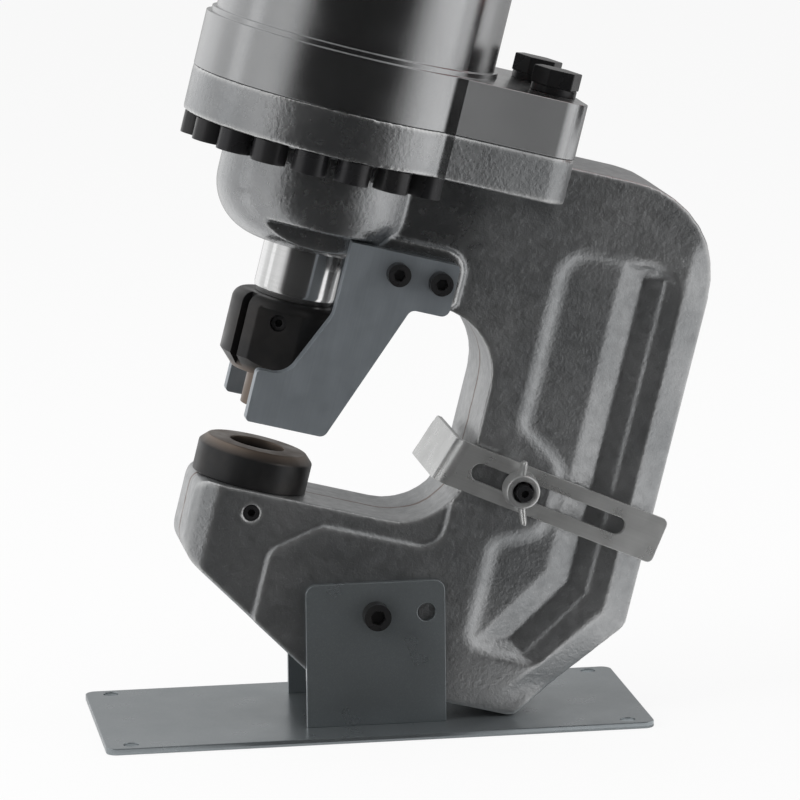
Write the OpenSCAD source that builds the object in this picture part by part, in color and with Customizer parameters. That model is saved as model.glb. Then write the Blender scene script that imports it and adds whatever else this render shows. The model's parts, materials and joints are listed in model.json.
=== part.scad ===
// Cordless hydraulic hole punch on a stand, in millimetres, +Z up.
// The origin is the middle of the base plate's underside.
// The tool itself leans on the stand: its own frame has X along the throat,
// Z up the punch axis, and its zero at the middle of the die's top face.

/* [Stand] */
// Length of the base plate
base_l = 204; // [190:1:240]
// Width of the base plate
base_w = 87; // [84:1:110]
// Thickness of the base plate
base_t = 2.5; // [2:0.5:5]
// Corner radius of the base plate
base_corner = 4; // [2:1:10]
// Diameter of the four holes in the base plate
base_hole_d = 5.5; // [4:0.5:6.5]
// Spacing of the base holes along the plate
base_pitch_x = 185; // [170:1:188]
// Spacing of the base holes across the plate
base_pitch_y = 76; // [73:1:78]
// Width of an upright
upright_w = 52; // [48:1:60]
// Height of an upright above the stand screw
upright_above = 12; // [10:0.5:18]
// Sheet thickness of an upright
upright_t = 2.5; // [2:0.5:4]
// Radius of an upright's top corners
upright_corner = 4; // [2:1:8]
// Gap between the frame's heel and the base plate
heel_gap = 0.3; // [0.2:0.1:2]
// Clearance hole for a stand screw
stand_hole_d = 6.8; // [6.4:0.1:7]
// Distance from the stand screw to the spare hole
spare_hole_x = 19; // [14:1:20]
// Lean of the tool on its stand, in degrees
tilt = 14.5; // [12:0.5:16]

/* [Frame] */
// Thickness of the frame's web
frame_t = 50; // [46:1:52]
// Depth of the throat behind the punch axis
throat_depth = 75; // [70:1:80]
// Corner radius of the throat
throat_r = 25; // [20:1:28]
// Height of the throat's roof above the die
throat_top = 67; // [66:1:70]
// Width of the column behind the throat
column_w = 73; // [70:1:80]
// Height of the upper arm above the die
arm_top = 128; // [125:1:130]
// Outer corner radius of the upper arm
arm_corner = 37; // [25:1:42]
// Depth of the lower jaw below the die
jaw_depth = 76.8; // [75:0.2:77]
// Height of the die above the jaw's top
die_proud = 14.2; // [12:0.2:16]
// Reach of the nose in front of the punch axis
nose_reach = 21.4; // [20:0.2:26]
// Radius of the nose's upright corners
nose_corner = 5.5; // [4:0.5:12]
// Length of the flat on the nose below the jaw's top
nose_drop = 28.3; // [24:0.1:32]
// Slope of the jaw's underside at the nose, in degrees
nose_slope = 31; // [27:1:34]
// Slope of the heel at the column's foot, in degrees
heel_slope = 50.5; // [46:0.5:54]
// Height of the heel's bevel
heel_h = 41.4; // [36:0.2:46]
// Least radius of the cast outline, less its margin
edge_r = 4; // [2:0.5:5]
// Step from the raised web down to the jaw's rim
rim_drop = 1.6; // [1:0.1:2.4]

/* [Pocket] */
// Width of the recess in the column
pocket_w = 50; // [46:0.5:52]
// Depth of the recess
pocket_depth = 6.5; // [4:0.5:8]
// Width of the sloped wall round the recess
pocket_wall = 7; // [5:0.5:8]
// Rim between the recess and the column's outer face
pocket_rim = 10.7; // [9:0.1:12]
// Height of the recess above the die
pocket_top = 101; // [98:1:104]
// Depth of the recess below the die
pocket_low = 57; // [52:1:60]
// Corner radius of the recess
pocket_r = 13; // [10:1:15]

/* [Head] */
// Radius of the round boss under the flange
boss_r = 38; // [37:0.5:40]
// Radius of the boss's lower edge
boss_round = 20.5; // [16:0.5:22]
// Height of the boss's underside above the die
boss_low = 75.8; // [74:0.2:78]
// Radius of the round part of the flanges
flange_r = 55.5; // [55:0.5:58]
// Half width of the flanges' square end
lobe_half = 45; // [43:1:47]
// Reach of the flanges' square end behind the punch axis
lobe_reach = 82.5; // [82:0.5:88]
// Corner radius of the square end
lobe_corner = 9.5; // [6:0.5:12]
// Thickness of the frame's flange
flange_low_t = 17; // [15:0.5:18]
// Thickness of the cylinder's flange
flange_up_t = 20.4; // [18:0.4:24]
// Height of the joint between the flanges above the die
seam_h = 132; // [131:0.5:134]

/* [Cylinder] */
// Outer diameter of the cylinder
cyl_d = 104.5; // [102:0.5:106]
// Bore of the cylinder
bore_d = 80; // [76:1:84]
// Length of the cylinder above its flange
cyl_l = 95; // [92:1:100]
// Thickness of the cylinder's closed end
cyl_end_t = 18; // [16:1:20]
// Diameter of the ram
ram_d = 30.5; // [29:0.5:32]
// Stroke of the ram
stroke = 20; // [16:1:20]
// Height of the piston
piston_h = 24; // [20:1:26]
// Running clearance of bores, on the radius
fit = 0.05; // [0.03:0.01:0.1]

/* [Punch] */
// Diameter of the punched hole
punch_d = 20; // [14:0.5:21]
// Clearance between punch and die, on the diameter
die_gap = 0.6; // [0.4:0.1:1.2]
// Outer diameter of the die
die_d = 43; // [40:1:45]
// Diameter of the punch holder
holder_d = 44; // [42:0.5:45]
// Length of the punch holder
holder_l = 29; // [27:0.5:30]
// Height of the punch's tip above the die at rest
tip_h = 14; // [13:0.5:15.5]
// Thickness of a stripper plate
strip_t = 6; // [5:0.5:7]
// Distance between the seats of the two stripper plates
strip_seat = 53.6; // [53:0.2:55]

/* [Gauge] */
// Width of the gauge bar
gauge_w = 17.5; // [14:0.5:18]
// Thickness of the gauge bar
gauge_t = 2; // [1.5:0.5:3]
// Length of the gauge bar
gauge_l = 87.5; // [84:0.5:90]
// Length of the gauge's bent tab
tab_l = 50; // [44:1:52]
// Slope of the gauge bar, in degrees
gauge_slope = 9; // [6:0.1:11]
// Width of the gauge's slot
slot_w = 6.6; // [6.4:0.1:7]
// Length of the slot between its end centres
slot_l = 55.5; // [50:0.5:57]
// Distance from the slot's near end to the stud
stud_at = 15.9; // [14:0.1:18]

/* [Power head] */
// Length of the pump body
pump_l = 96; // [92:1:104]
// Width of the pump body
pump_w = 68; // [64:1:70]
// Height of the pump body
pump_h = 78; // [76:1:84]
// Height of the drive shaft above the cylinder's end
shaft_h = 27; // [26:0.5:29]
// Module of the gears
gear_m = 1.25; // [1.25:0.05:1.3]
// Teeth of the motor's pinion
pinion_z = 12; // [12:1:13]
// Teeth of the drive gear
gear_z = 36; // [35:1:36]
// Throw of the eccentric
throw = 3; // [2:0.5:3]
// Radius of the motor barrel
barrel_r = 37; // [36:0.5:40]
// Length of the motor barrel
barrel_l = 142; // [138:1:150]
// Wall of the housing
wall = 2.6; // [2:0.1:3]
// Width of the grip
grip_w = 34; // [32:1:38]
// Height of the grip below the barrel
grip_h = 78; // [74:1:84]
// Length of the battery pack
pack_l = 84; // [80:1:96]
// Width of the battery pack
pack_w = 72; // [68:1:78]
// Height of the battery pack
pack_h = 42; // [38:1:48]

/* [Hidden] */
// Which sub-part is drawn
// Overrun of cuts
over = 1;
// Facets of a round surface
$fn = 72;
// Steps of a rounded outline corner
arc_n = 8;
// Steps of a cast edge's rounding
edge_n = 3;
// Sweep of an edge's rounding, in degrees
quarter = 90;

// Grip of the screws in what they hold
stand_screw_l = 16;
flange_screw_in = 15;
lobe_thread_l = 15;
pump_screw_in = 12;
pump_screw_turns = [60, 120, 240, 300];
holder_screw_in = 2;
die_screw_sunk = 0.5;

// Socket cap screws: thread, head diameter, head height, key width
m5 = [5, 8.5, 5, 4];
m6 = [6, 10, 6, 5];
m8 = [8, 13, 8, 6];
m4 = [4, 7, 4, 3];
// Hexagon bolts of the square end: thread, width over corners, head height
m10 = [10, 18.5, 6.4];
// Spring washer: outer and inner diameter, thickness, gap of its slit
spring_washer = [17, 10.4, 2.6, 2];

// Web, jaw and column of the frame
half = frame_t / 2;
column_u = throat_depth + column_w;
jaw_top = -die_proud;
jaw_low = -jaw_depth;
nose_w = jaw_top - nose_drop;
nose_foot_u = (nose_w - jaw_low) / tan(nose_slope) - nose_reach;
heel_u = column_u - heel_h / tan(heel_slope);
// Roof of the throat in front of its corner, and the head's underside
roof_front = 28;
roof_step = 6;
corner_margin = 1;
corner_small = edge_r + corner_margin;
corner_foot = 6;
corner_nose = 12;
frame_outline = rounded([
    [-nose_reach, jaw_top, corner_small],
    [-nose_reach, nose_w, corner_nose],
    [nose_foot_u, jaw_low, corner_foot],
    [heel_u, jaw_low, corner_foot],
    [column_u, jaw_low + heel_h, corner_foot],
    [column_u, arm_top, arm_corner],
    [0, arm_top, 0],
    [0, boss_low + corner_small, 0],
    [roof_front - roof_step, boss_low + corner_small, 0],
    [roof_front, throat_top, corner_small],
    [throat_depth, throat_top, throat_r],
    [throat_depth, jaw_top, throat_r]], arc_n);

// Place of the stand screw in the frame, and of the tool on its stand
stand_from_throat = 21.6;
stand_below_jaw = 34.8;
stand_u = throat_depth - stand_from_throat;
stand_w = jaw_top - stand_below_jaw;
heel_low = max([for (p = frame_outline) p.x * sin(tilt) - p.y * cos(tilt)]);
tool_x = -stand_u * cos(tilt) - stand_w * sin(tilt);
tool_z = base_t + heel_gap + heel_low;
pivot_h = tool_z - base_t - stand_u * sin(tilt) + stand_w * cos(tilt);

// Raised web: its border runs along the jaw and up behind the throat
web_front = 9.9;
web_front_top = 20;
web_top_drop = 7.1;
web_top_front = 27;
web_back_in = 3.2;
web_back_r = 9;
// Milled seat for the gauge, from the throat to the recess
seat_low = -2.8;
seat_high = 20.8;
seat_back = 106;
seat_drop = 0.6;
// Lower part of the recess: its sloped side and the bulge round the stud
pocket_left = column_u - pocket_rim - pocket_w;
pocket_right = column_u - pocket_rim;
pocket_heel_w = -28;
pocket_heel_u = 118.5;
pocket_foot_r = 9;
bulge_reach = 18.5;
bulge_low = 9.2;
bulge_high = 3.6;
bulge_r = 8;
pocket_steps = 3;
pocket_arc = 4;
// Keeps the upper and lower left sides off one line
pocket_lean = 0.3;

// Flanges, boss and the seats of the strippers
flange_low_w = seam_h - flange_low_t;
flange_top_w = seam_h + flange_up_t;
screw_ring_r = 48.5;
screw_step = 18.5;
screw_side = 7;
lobe_bolt_u = 72.5;
lobe_bolt_y = 19;
pad_low = 68;
pad_front_low = 80.5;
pad_edge = 3;
pad_r = 8;
ledge_w = 85.6;

// Cylinder, ram and their seals
cyl_top = flange_top_w + cyl_l;
foot_ring_w = 1.5;
foot_ring_d = cyl_d + 2 * foot_ring_w;
foot_ring_h = 2;
ram_low = 56;
ram_tip_d = 24;
ram_tip_l = 12;
ram_bevel = 3.2;
ram_bevel_in = 0.8;
piston_rest = 8;
piston_top = cyl_top - cyl_end_t - piston_rest;
piston_w = piston_top - piston_h;
seal_w = 6;
seal_deep = 4;
bush_d = 44;
bush_l = 34;
bush_low = seam_h - bush_l;
wiper_d = 38;
wiper_h = 6;
wiper_low = boss_low + wiper_h;
spring_wire = 6;
spring_mean = 56;
spring_turns = 6;
spring_sides = 8;
spring_rings = 14;
spring_gap = 0.3;

// Punch, holder, die
holder_top = ram_low;
holder_low = holder_top - holder_l;
holder_shoulder_h = 4.4;
holder_cone = 5.5;
holder_flat = 20.5;
holder_flat_turn = 18;
holder_flat_top = 3.6;
holder_flat_low = 4;
groove_w = 3.8;
groove_deep = 4;
groove_turn = 58;
punch_shank_d = 16;
punch_shank_l = 12;
holder_screw_w = 48;
holder_screw_l = 9;
die_bevel = 3;
die_bore_taper = 4;
die_shank_d = 34;
die_shank_l = 12;
slug_d = 25;
die_screw_w = -22.2;
die_screw_key = 2.6;

// Outline of a stripper plate, from its toe to its lug
strip_top = 84.6;
strip_low = 12.4;
strip_back = 52;
strip_front = 11;
strip_toe = 12;
strip_heel = 17.8;
strip_lug_low = 65;
strip_lug_front = 37.9;
strip_neck_u = 10.6;
strip_neck_w = 57;
strip_shelf = 31.8;
strip_shelf_back = -0.9;
strip_r = 3;
strip_neck_r = 8;
strip_fine_r = 1.5;
strip_screw_u = [29.9, 45.9];
strip_screw_w = 77;
strip_screw_l = 14;

// Gauge
stud_u = 94.5;
stud_w = 8.4;
slot_start = 13.9;
gauge_gap = 0.2;
gauge_skew = 2.9;
gauge_r = 1.5;
stud_l = 26;
stud_out = 14;
washer_d = 12.5;
washer_t = 1.2;
nut_d = 12.5;
nut_top_d = 9.5;
nut_h = 7.5;
wing_t = 2.4;
wing_reach = 12.5;
wing_root = 4;
wing_h = 12;
wing_turn = -22;
gauge_back = -half - gauge_gap;
gauge_x = -stud_at - slot_start;

// Pump body on the cylinder's end
pump_front = 42;
pump_back = pump_l - pump_front;
pump_top = cyl_top + pump_h;
pump_foot_h = 10;
pump_r = 10;
pump_edge = 6;
pump_screw_r = 46.4;
shaft_w = cyl_top + shaft_h;
motor_w = shaft_w + gear_m * (pinion_z + gear_z) / 2;
cap_r = 29;
cap_l = 40;
cap_wall = 3;
cap_round = 8;
cap_w = cyl_top + pump_h / 2;
cap_thread_l = 6;
bladder_gap = 2;
bladder_wall = 2;
plug_u = -20;
plug_d = 18;
plug_h = 5;
plug_thread = 12;
plug_thread_l = 12;
plug_key = 8;
lever_u = 6;
lever_drop = 22;
lever_w = pump_top - lever_drop;
lever_hub = 16;
lever_t = 5;
lever_l = 40;
lever_tip = 9;
lever_slope = 24;
lever_neck = 1;
lever_screw_l = 16;

// Drive shaft, eccentric and plunger
shaft_d = 12;
shaft_front = -16;
ecc_u = 0;
ecc_l = 12;
ecc_d = 20;
ecc_ring_d = 28;
front_bearing_d = 28;
back_bearing_d = 36;
bearing_l = 8;
bearing_race_share = 0.3;
bearing_balls = 8;
bearing_fn = 24;
chamber_gap = 2;
plunger_d = 10;
plunger_l = 17;
plunger_gap = 0.3;
plunger_head_d = 15;
plunger_head_h = 3;
plunger_well_d = 18;
plunger_well_h = 3;
pspring_wire = 1;
pspring_mean = 12.6;
pspring_turns = 2;
pspring_rings = 16;
plunger_top = shaft_w - throw - ecc_ring_d / 2 - plunger_gap;

// Gears and their case
case_l = 22;
case_wall = 4;
case_gap = 1.5;
case_low_r = 33;
case_high_r = barrel_r;
gear_l = 9;
gear_gap = 3;
gear_start = pump_back + gear_gap;
tooth_top = 0.9;
tooth_root = 1.15;
tooth_tip_share = 0.24;
tooth_root_share = 0.58;
case_screw_y = 26;
case_screw_low = 11;
case_screw_high = 13;
case_screw_grip = 12;

// Motor
motor_front = pump_back + case_l;
rotor_d = 8;
stator_gap = 12;
stator_start = motor_front + stator_gap;
stator_l = 58;
stator_d = 60;
stator_bore = 46;
arm_d = 44;
arm_start = stator_start + stator_gap / 3;
arm_l = 46;
comm_d = 24;
comm_l = 10;
comm_start = arm_start + arm_l + comm_l / 5;
fan_start = comm_start + comm_l + comm_l / 5;
fan_d = 62;
fan_l = 12;
fan_blades = 9;
fan_blade_t = 1.6;
fan_hub_d = 16;
mbearing_d = 22;
mbearing_l = 7;
mbearing_start = fan_start + fan_l + fan_l / 3;
rotor_back = mbearing_start + mbearing_l;
rib_t = 3;

// Housing shells, grip and foot
barrel_end = motor_front + barrel_l;
barrel_low = motor_w - barrel_r;
grip_u = 194;
grip_d = 36;
grip_front = grip_u - grip_d / 2;
grip_low = barrel_low - grip_h;
grip_flare = 12;
grip_r = 10;
grip_edge = 7;
foot_t = 14;
foot_low = grip_low - foot_t;
pack_u = 186;
foot_r = 5;
vent_n = 6;
vent_w = 2.4;
vent_l = 22;
vent_step = 5.2;
vent_start = 144;
vent_deep = 10;
boss_d = 8;
end_wall = 4;
shell_screw_y = 12;
shell_screw_l = 20;
shell_screw_d = 4;
shell_screws_at = [[84, 27], [206, 27], [194, -82], [198, -103]];

// Trigger, switch, lock button
trigger_drop = 8;
trigger_h = 26;
trigger_out = 11;
trigger_in = 12;
trigger_w = 13;
trigger_travel = 6;
trigger_gap = 0.3;
trigger_r = 3;
trigger_top = barrel_low - trigger_drop;
lock_d = 9;
lock_out = 3;
lock_in = 12;
lock_drop = 2;

// Battery pack
pack_gap = 0.3;
pack_r = 6;
pack_edge = 5;
rail_w = 40;
rail_h = 8;
rail_in = 16;
latch_w = 26;
latch_h = 14;
latch_t = 8;
latch_out = 2;
latch_tooth = 3;
latch_travel = 4;
terminal_l = 10;
blade_n = 3;
blade_t = 1;
blade_l = 8;
blade_step = 10;
blade_margin = 2;

// Direction of a vector
function unit(v) = v / norm(v);

// Points of one rounded corner p between its neighbours a and b
function corner(a, p, b, r, n) = let (
    u1 = unit(a - p), u2 = unit(b - p), h = acos(u1 * u2) / 2,
    c = p + unit(u1 + u2) * r / sin(h), s = p + u1 * r / tan(h), e = p + u2 * r / tan(h),
    a0 = atan2(s.y - c.y, s.x - c.x), d = atan2(e.y - c.y, e.x - c.x) - a0,
    turn = d > 180 ? d - 360 : d < -180 ? d + 360 : d)
    r <= 0 ? [p] : [for (i = [0:n]) c + r * [cos(a0 + turn * i / n), sin(a0 + turn * i / n)]];

// Closed outline through the corners [x, y, radius]
function rounded(q, n) = let (m = len(q)) [for (i = [0:m - 1])
    each corner([q[(i + m - 1) % m].x, q[(i + m - 1) % m].y], [q[i].x, q[i].y],
        [q[(i + 1) % m].x, q[(i + 1) % m].y], q[i].z, n)];

// The same outline drawn in by d, for an outline that runs anticlockwise
function inset(q, d) = let (m = len(q)) [for (i = [0:m - 1])
    let (e1 = unit(q[i] - q[(i + m - 1) % m]), e2 = unit(q[(i + 1) % m] - q[i]),
        n1 = [-e1.y, e1.x], n2 = [-e2.y, e2.x])
    q[i] + (n1 + n2) * d / (1 + n1 * n2)];

// Solid through rings of one outline; each level is [place along Y, inset]
module loft(q, levels) {
    n = len(q);
    m = len(levels);
    verts = [for (l = levels) for (p = inset(q, l[1])) [p.x, l[0], p.y]];
    sides = [for (k = [0:m - 2]) for (i = [0:n - 1]) let (j = (i + 1) % n)
        each [[k * n + i, k * n + j, (k + 1) * n + j], [k * n + i, (k + 1) * n + j, (k + 1) * n + i]]];
    polyhedron(verts, concat(sides, [[for (i = [n - 1:-1:0]) i], [for (i = [0:n - 1]) (m - 1) * n + i]]));
}

// Levels of a slab with both faces' edges rounded
function slab_levels(h, r, n) = concat(
    [for (i = [0:n]) [-h + r * (1 - cos(quarter * i / n)), r * (1 - sin(quarter * i / n))]],
    [for (i = [n:-1:0]) [h - r * (1 - cos(quarter * i / n)), r * (1 - sin(quarter * i / n))]]);

// Places the tool on its stand
module on_stand() {
    translate([tool_x, 0, tool_z]) rotate([0, tilt, 0]) children();
}

// Draws the front child and its mirror image behind the middle plane
module both_sides() {
    children();
    mirror([0, 1, 0]) children();
}

// Flat outline drawn from y0 to y1, its second axis upright
module along_y(y0, y1) {
    translate([0, y1, 0]) rotate([90, 0, 0]) linear_extrude(y1 - y0) children();
}

module rod_y(d, y0, y1, u, w) {
    translate([u, y1, w]) rotate([90, 0, 0]) cylinder(d = d, h = y1 - y0);
}

module rod_w(d, w0, w1, u = 0, y = 0) {
    translate([u, y, w0]) cylinder(d = d, h = w1 - w0);
}

module block(lo, hi) {
    translate(lo) cube(hi - lo);
}

// Plate with rounded corners, its middle on the origin
module round_plate(l, w, t, r) {
    linear_extrude(t) polygon(rounded([
        [-l / 2, -w / 2, r], [l / 2, -w / 2, r], [l / 2, w / 2, r], [-l / 2, w / 2, r]], arc_n));
}

// Socket cap screw whose head stands on z = 0
module cap_screw(size, l) {
    difference() {
        cylinder(d = size[1], h = size[2]);
        translate([0, 0, size[2] / 2]) cylinder(d = size[3] / cos(30), h = size[2], $fn = 6);
    }
    translate([0, 0, -l]) cylinder(d = size[0], h = l);
}

// Set screw with a hexagon socket, its outer end on z = 0
module set_screw(d, l, key) {
    difference() {
        translate([0, 0, -l]) cylinder(d = d, h = l);
        translate([0, 0, -key]) cylinder(d = key / cos(30), h = key + over, $fn = 6);
    }
}

// Coil spring from z0 to z1, as one tube
module coil(wire, mean, turns, sides, rings, z0, z1) {
    n = turns * rings;
    rise = z1 - z0 - wire;
    verts = [for (k = [0:n]) let (a = 360 * k / rings)
        for (j = [0:sides - 1]) let (b = 360 * j / sides, r = (mean + wire * cos(b)) / 2)
        [r * cos(a), r * sin(a), z0 + wire / 2 + rise * k / n + wire / 2 * sin(b)]];
    tube = [for (k = [0:n - 1]) for (j = [0:sides - 1]) let (i = (j + 1) % sides)
        each [[k * sides + j, (k + 1) * sides + i, k * sides + i],
            [k * sides + j, (k + 1) * sides + j, (k + 1) * sides + i]]];
    polyhedron(verts, concat(tube, [[for (j = [0:sides - 1]) j],
        [for (j = [sides - 1:-1:0]) n * sides + j]]));
}

// Ball bearing: two races and their balls
module ball_bearing(outer, inner, l) {
    mid = (outer + inner) / 4;
    race = (outer - inner) / 2 * bearing_race_share;
    ball = (outer - inner) / 2 - race;
    difference() {
        union() {
            difference() {
                cylinder(d = outer, h = l);
                translate([0, 0, -over]) cylinder(d = outer - 2 * race, h = l + 2 * over);
            }
            difference() {
                cylinder(d = inner + 2 * race, h = l);
                translate([0, 0, -over]) cylinder(d = inner, h = l + 2 * over);
            }
        }
        translate([0, 0, l / 2]) rotate_extrude() translate([mid, 0]) circle(d = ball + 2 * fit);
    }
    for (k = [1:bearing_balls]) rotate([0, 0, 360 * k / bearing_balls])
        translate([mid, 0, l / 2]) sphere(d = ball, $fn = bearing_fn);
}

// Spur gear with straight-flanked teeth and a bore
module gear(z, l, bore, turn) {
    rp = gear_m * z / 2;
    ro = rp + tooth_top * gear_m;
    ri = rp - tooth_root * gear_m;
    pitch = 360 / z;
    difference() {
        linear_extrude(l) polygon([for (k = [0:z - 1])
            each [for (t = [[-1, tooth_root_share, ri], [-1, tooth_tip_share, ro],
                [1, tooth_tip_share, ro], [1, tooth_root_share, ri]])
                let (a = turn + pitch * (k + t[0] * t[1] / 2)) t[2] * [cos(a), sin(a)]]]);
        translate([0, 0, -over]) cylinder(d = bore, h = l + 2 * over);
    }
}

module base_plate() {
    color("silver") difference() {
        round_plate(base_l, base_w, base_t, base_corner);
        for (x = [-1, 1]) for (y = [-1, 1])
            translate([x * base_pitch_x / 2, y * base_pitch_y / 2, -over])
                cylinder(d = base_hole_d, h = base_t + 2 * over);
    }
}

// Front upright; its foot stands on the base plate
module upright() {
    h = pivot_h + upright_above;
    difference() {
        translate([0, 0, base_t]) along_y(-half - upright_t, -half) polygon(rounded([
            [-upright_w / 2, 0, 0], [upright_w / 2, 0, 0], [upright_w / 2, h, upright_corner],
            [-upright_w / 2, h, upright_corner]], arc_n));
        for (x = [0, spare_hole_x])
            rod_y(stand_hole_d, -half - upright_t - over, -half + over, x, base_t + pivot_h);
    }
}

module upright_front() {
    color("lightslategray") upright();
}

module upright_rear() {
    color("lightslategray") mirror([0, 1, 0]) upright();
}

module stand_screws() {
    color("dimgray") both_sides() translate([0, -half - upright_t, base_t + pivot_h])
        rotate([90, tilt, 0]) cap_screw(m6, stand_screw_l);
}

// Flange with a round front and a square end, from w0 to w1
module flange(w0, w1) {
    translate([0, 0, w0]) linear_extrude(w1 - w0) union() {
        circle(r = flange_r);
        polygon(rounded([[0, -lobe_half, 0], [lobe_reach, -lobe_half, lobe_corner],
            [lobe_reach, lobe_half, lobe_corner], [0, lobe_half, 0]], arc_n));
    }
}

// Round boss under the flange, with its large lower radius
module head_boss() {
    rotate_extrude() intersection() {
        union() {
            translate([0, boss_low + boss_round])
                square([boss_r, flange_low_w - boss_low - boss_round]);
            translate([0, boss_low]) square([boss_r - boss_round, boss_round + over]);
            translate([boss_r - boss_round, boss_low + boss_round]) circle(r = boss_round);
        }
        translate([0, boss_low]) square([boss_r, flange_low_w - boss_low + over]);
    }
}

// Raised pad on which a stripper plate seats
module stripper_pad() {
    along_y(-strip_seat / 2, 0) polygon(rounded([
        [0, pad_front_low, 0], [roof_front - roof_step, pad_front_low, 0],
        [roof_front, pad_low, pad_edge], [strip_back + pad_edge, pad_low, pad_edge],
        [strip_back + pad_edge, ledge_w + pad_edge, pad_r], [0, ledge_w + pad_edge, 0]], arc_n));
}

// Space that the jaw's lower rim leaves beside the raised web
module rim_cut() {
    along_y(-half - edge_r, -half + rim_drop) polygon(rounded([
        [-nose_reach - column_w, -column_u, 0], [web_front, -column_u, 0],
        [web_front, jaw_top - web_front_top, corner_foot],
        [web_top_front, jaw_top - web_top_drop, corner_foot],
        [throat_depth - web_back_in, jaw_top - web_top_drop, web_back_r],
        [throat_depth - web_back_in, seat_low, 0], [throat_depth - throat_r, seat_low, 0],
        [throat_depth - throat_r, 0, 0], [-nose_reach - column_w, 0, 0]], arc_n));
}

// Recess of the column, with its rounded lip and floor
module pocket_cut() {
    loft(rounded([
        [pocket_left, -pocket_low, pocket_foot_r], [pocket_heel_u, -pocket_low, pocket_foot_r],
        [pocket_right, pocket_heel_w, pocket_r], [pocket_right, pocket_top, pocket_r],
        [pocket_left + pocket_lean, pocket_top, pocket_r],
        [pocket_left + pocket_lean, seat_high + bulge_high + bulge_r / 2, bulge_r],
        [pocket_left + bulge_reach, seat_high - bulge_r / 2, bulge_r],
        [pocket_left + bulge_reach, seat_low - bulge_high / 4, bulge_r],
        [pocket_left, seat_low - bulge_low, bulge_r]], pocket_arc),
        concat([[-half - edge_r, 0]], [for (i = [0:pocket_steps])
            [-half + pocket_depth * (1 - cos(2 * quarter * i / pocket_steps)) / 2,
                pocket_wall * i / pocket_steps]]));
}

// Takes the nose's upright corner down to its radius
module nose_cut() {
    difference() {
        block([-nose_reach - over, -half - over, -jaw_depth],
            [-nose_reach + nose_corner, -half + nose_corner, 0]);
        rod_w(2 * nose_corner, -jaw_depth - over, over, -nose_reach + nose_corner, -half + nose_corner);
    }
}

module c_frame() {
    color("gray") on_stand() difference() {
        union() {
            along_y(-half, half) polygon(frame_outline);
            head_boss();
            both_sides() stripper_pad();
        }
        block([-flange_r, -half - over, flange_low_w], [lobe_reach, half + over, arm_top + over]);
        both_sides() {
            rim_cut();
            pocket_cut();
            nose_cut();
            block([-boss_r - over, -boss_r - over, boss_low - over],
                [strip_back, -strip_seat / 2, ledge_w]);
            rod_y(m6[0] + 2 * fit, -half - over, -half + stand_screw_l, stand_u, stand_w);
            for (u = strip_screw_u)
                rod_y(m5[0] + 2 * fit, -strip_seat / 2 - over,
                    -strip_seat / 2 - strip_t + strip_screw_l + fit, u, strip_screw_w);
        }
        along_y(-half - over, -half + seat_drop) polygon([
            [throat_depth - throat_r, seat_low], [seat_back, seat_low],
            [seat_back, seat_high], [throat_depth - throat_r, seat_high]]);
        rod_y(m6[0] + 2 * fit, -half - over, -half + stud_l - stud_out + fit, stud_u, stud_w);
        rod_w(ram_d + 2 * fit, boss_low - over, flange_low_w + over);
        rod_w(bush_d + 2 * fit, bush_low, flange_low_w + over);
        rod_w(wiper_d + 2 * fit, boss_low - over, wiper_low);
        rod_w(die_shank_d + 2 * fit, jaw_top - die_shank_l, jaw_top + over);
        rod_w(slug_d, jaw_low - over, jaw_top);
        rod_y(m6[0] + 2 * fit, -half - over, -die_shank_d / 2 + over, 0, die_screw_w);
    }
}

// Lower flange, cast on the frame's head
module head_flange() {
    color("gray") on_stand() difference() {
        flange(flange_low_w, seam_h);
        rod_w(bush_d + 2 * fit, flange_low_w - over, seam_h + over);
        for (k = [-screw_side:screw_side]) rotate([0, 0, 180 + k * screw_step])
            rod_w(m8[0] + 2 * fit, flange_low_w - over, seam_h + over, screw_ring_r);
        both_sides() rod_w(m10[0] + 2 * fit, seam_h - lobe_thread_l, seam_h + over,
            lobe_bolt_u, -lobe_bolt_y);
    }
}

module cylinder_body() {
    color("darkgray") on_stand() difference() {
        union() {
            flange(seam_h, flange_top_w);
            rod_w(foot_ring_d, flange_top_w - over, flange_top_w + foot_ring_h);
            rod_w(cyl_d, flange_top_w - over, cyl_top);
        }
        rod_w(bore_d + 2 * fit, seam_h - over, cyl_top - cyl_end_t);
        rod_w(plunger_d + 2 * fit, cyl_top - cyl_end_t - over, cyl_top + over, ecc_u + ecc_l / 2);
        for (k = [-screw_side:screw_side]) rotate([0, 0, 180 + k * screw_step])
            rod_w(m8[0] + 2 * fit, seam_h - over, seam_h + flange_screw_in + fit, screw_ring_r);
        both_sides() rod_w(m10[0] + 2 * fit, seam_h - over, flange_top_w + over,
            lobe_bolt_u, -lobe_bolt_y);
        for (t = pump_screw_turns) rotate([0, 0, t])
            rod_w(m6[0] + 2 * fit, cyl_top - pump_screw_in - fit, cyl_top + over, pump_screw_r);
    }
}

module flange_screws() {
    color("black") on_stand() for (k = [-screw_side:screw_side])
        rotate([0, 0, 180 + k * screw_step]) translate([screw_ring_r, 0, flange_low_w])
            rotate([180, 0, 0]) cap_screw(m8, flange_low_t + flange_screw_in);
}

module lobe_bolts() {
    head_w = flange_top_w + spring_washer[2];
    color("black") on_stand() both_sides() {
        translate([lobe_bolt_u, -lobe_bolt_y, head_w]) cylinder(d = m10[1], h = m10[2], $fn = 6);
        rod_w(m10[0], seam_h - lobe_thread_l + fit, head_w, lobe_bolt_u, -lobe_bolt_y);
    }
}

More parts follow.
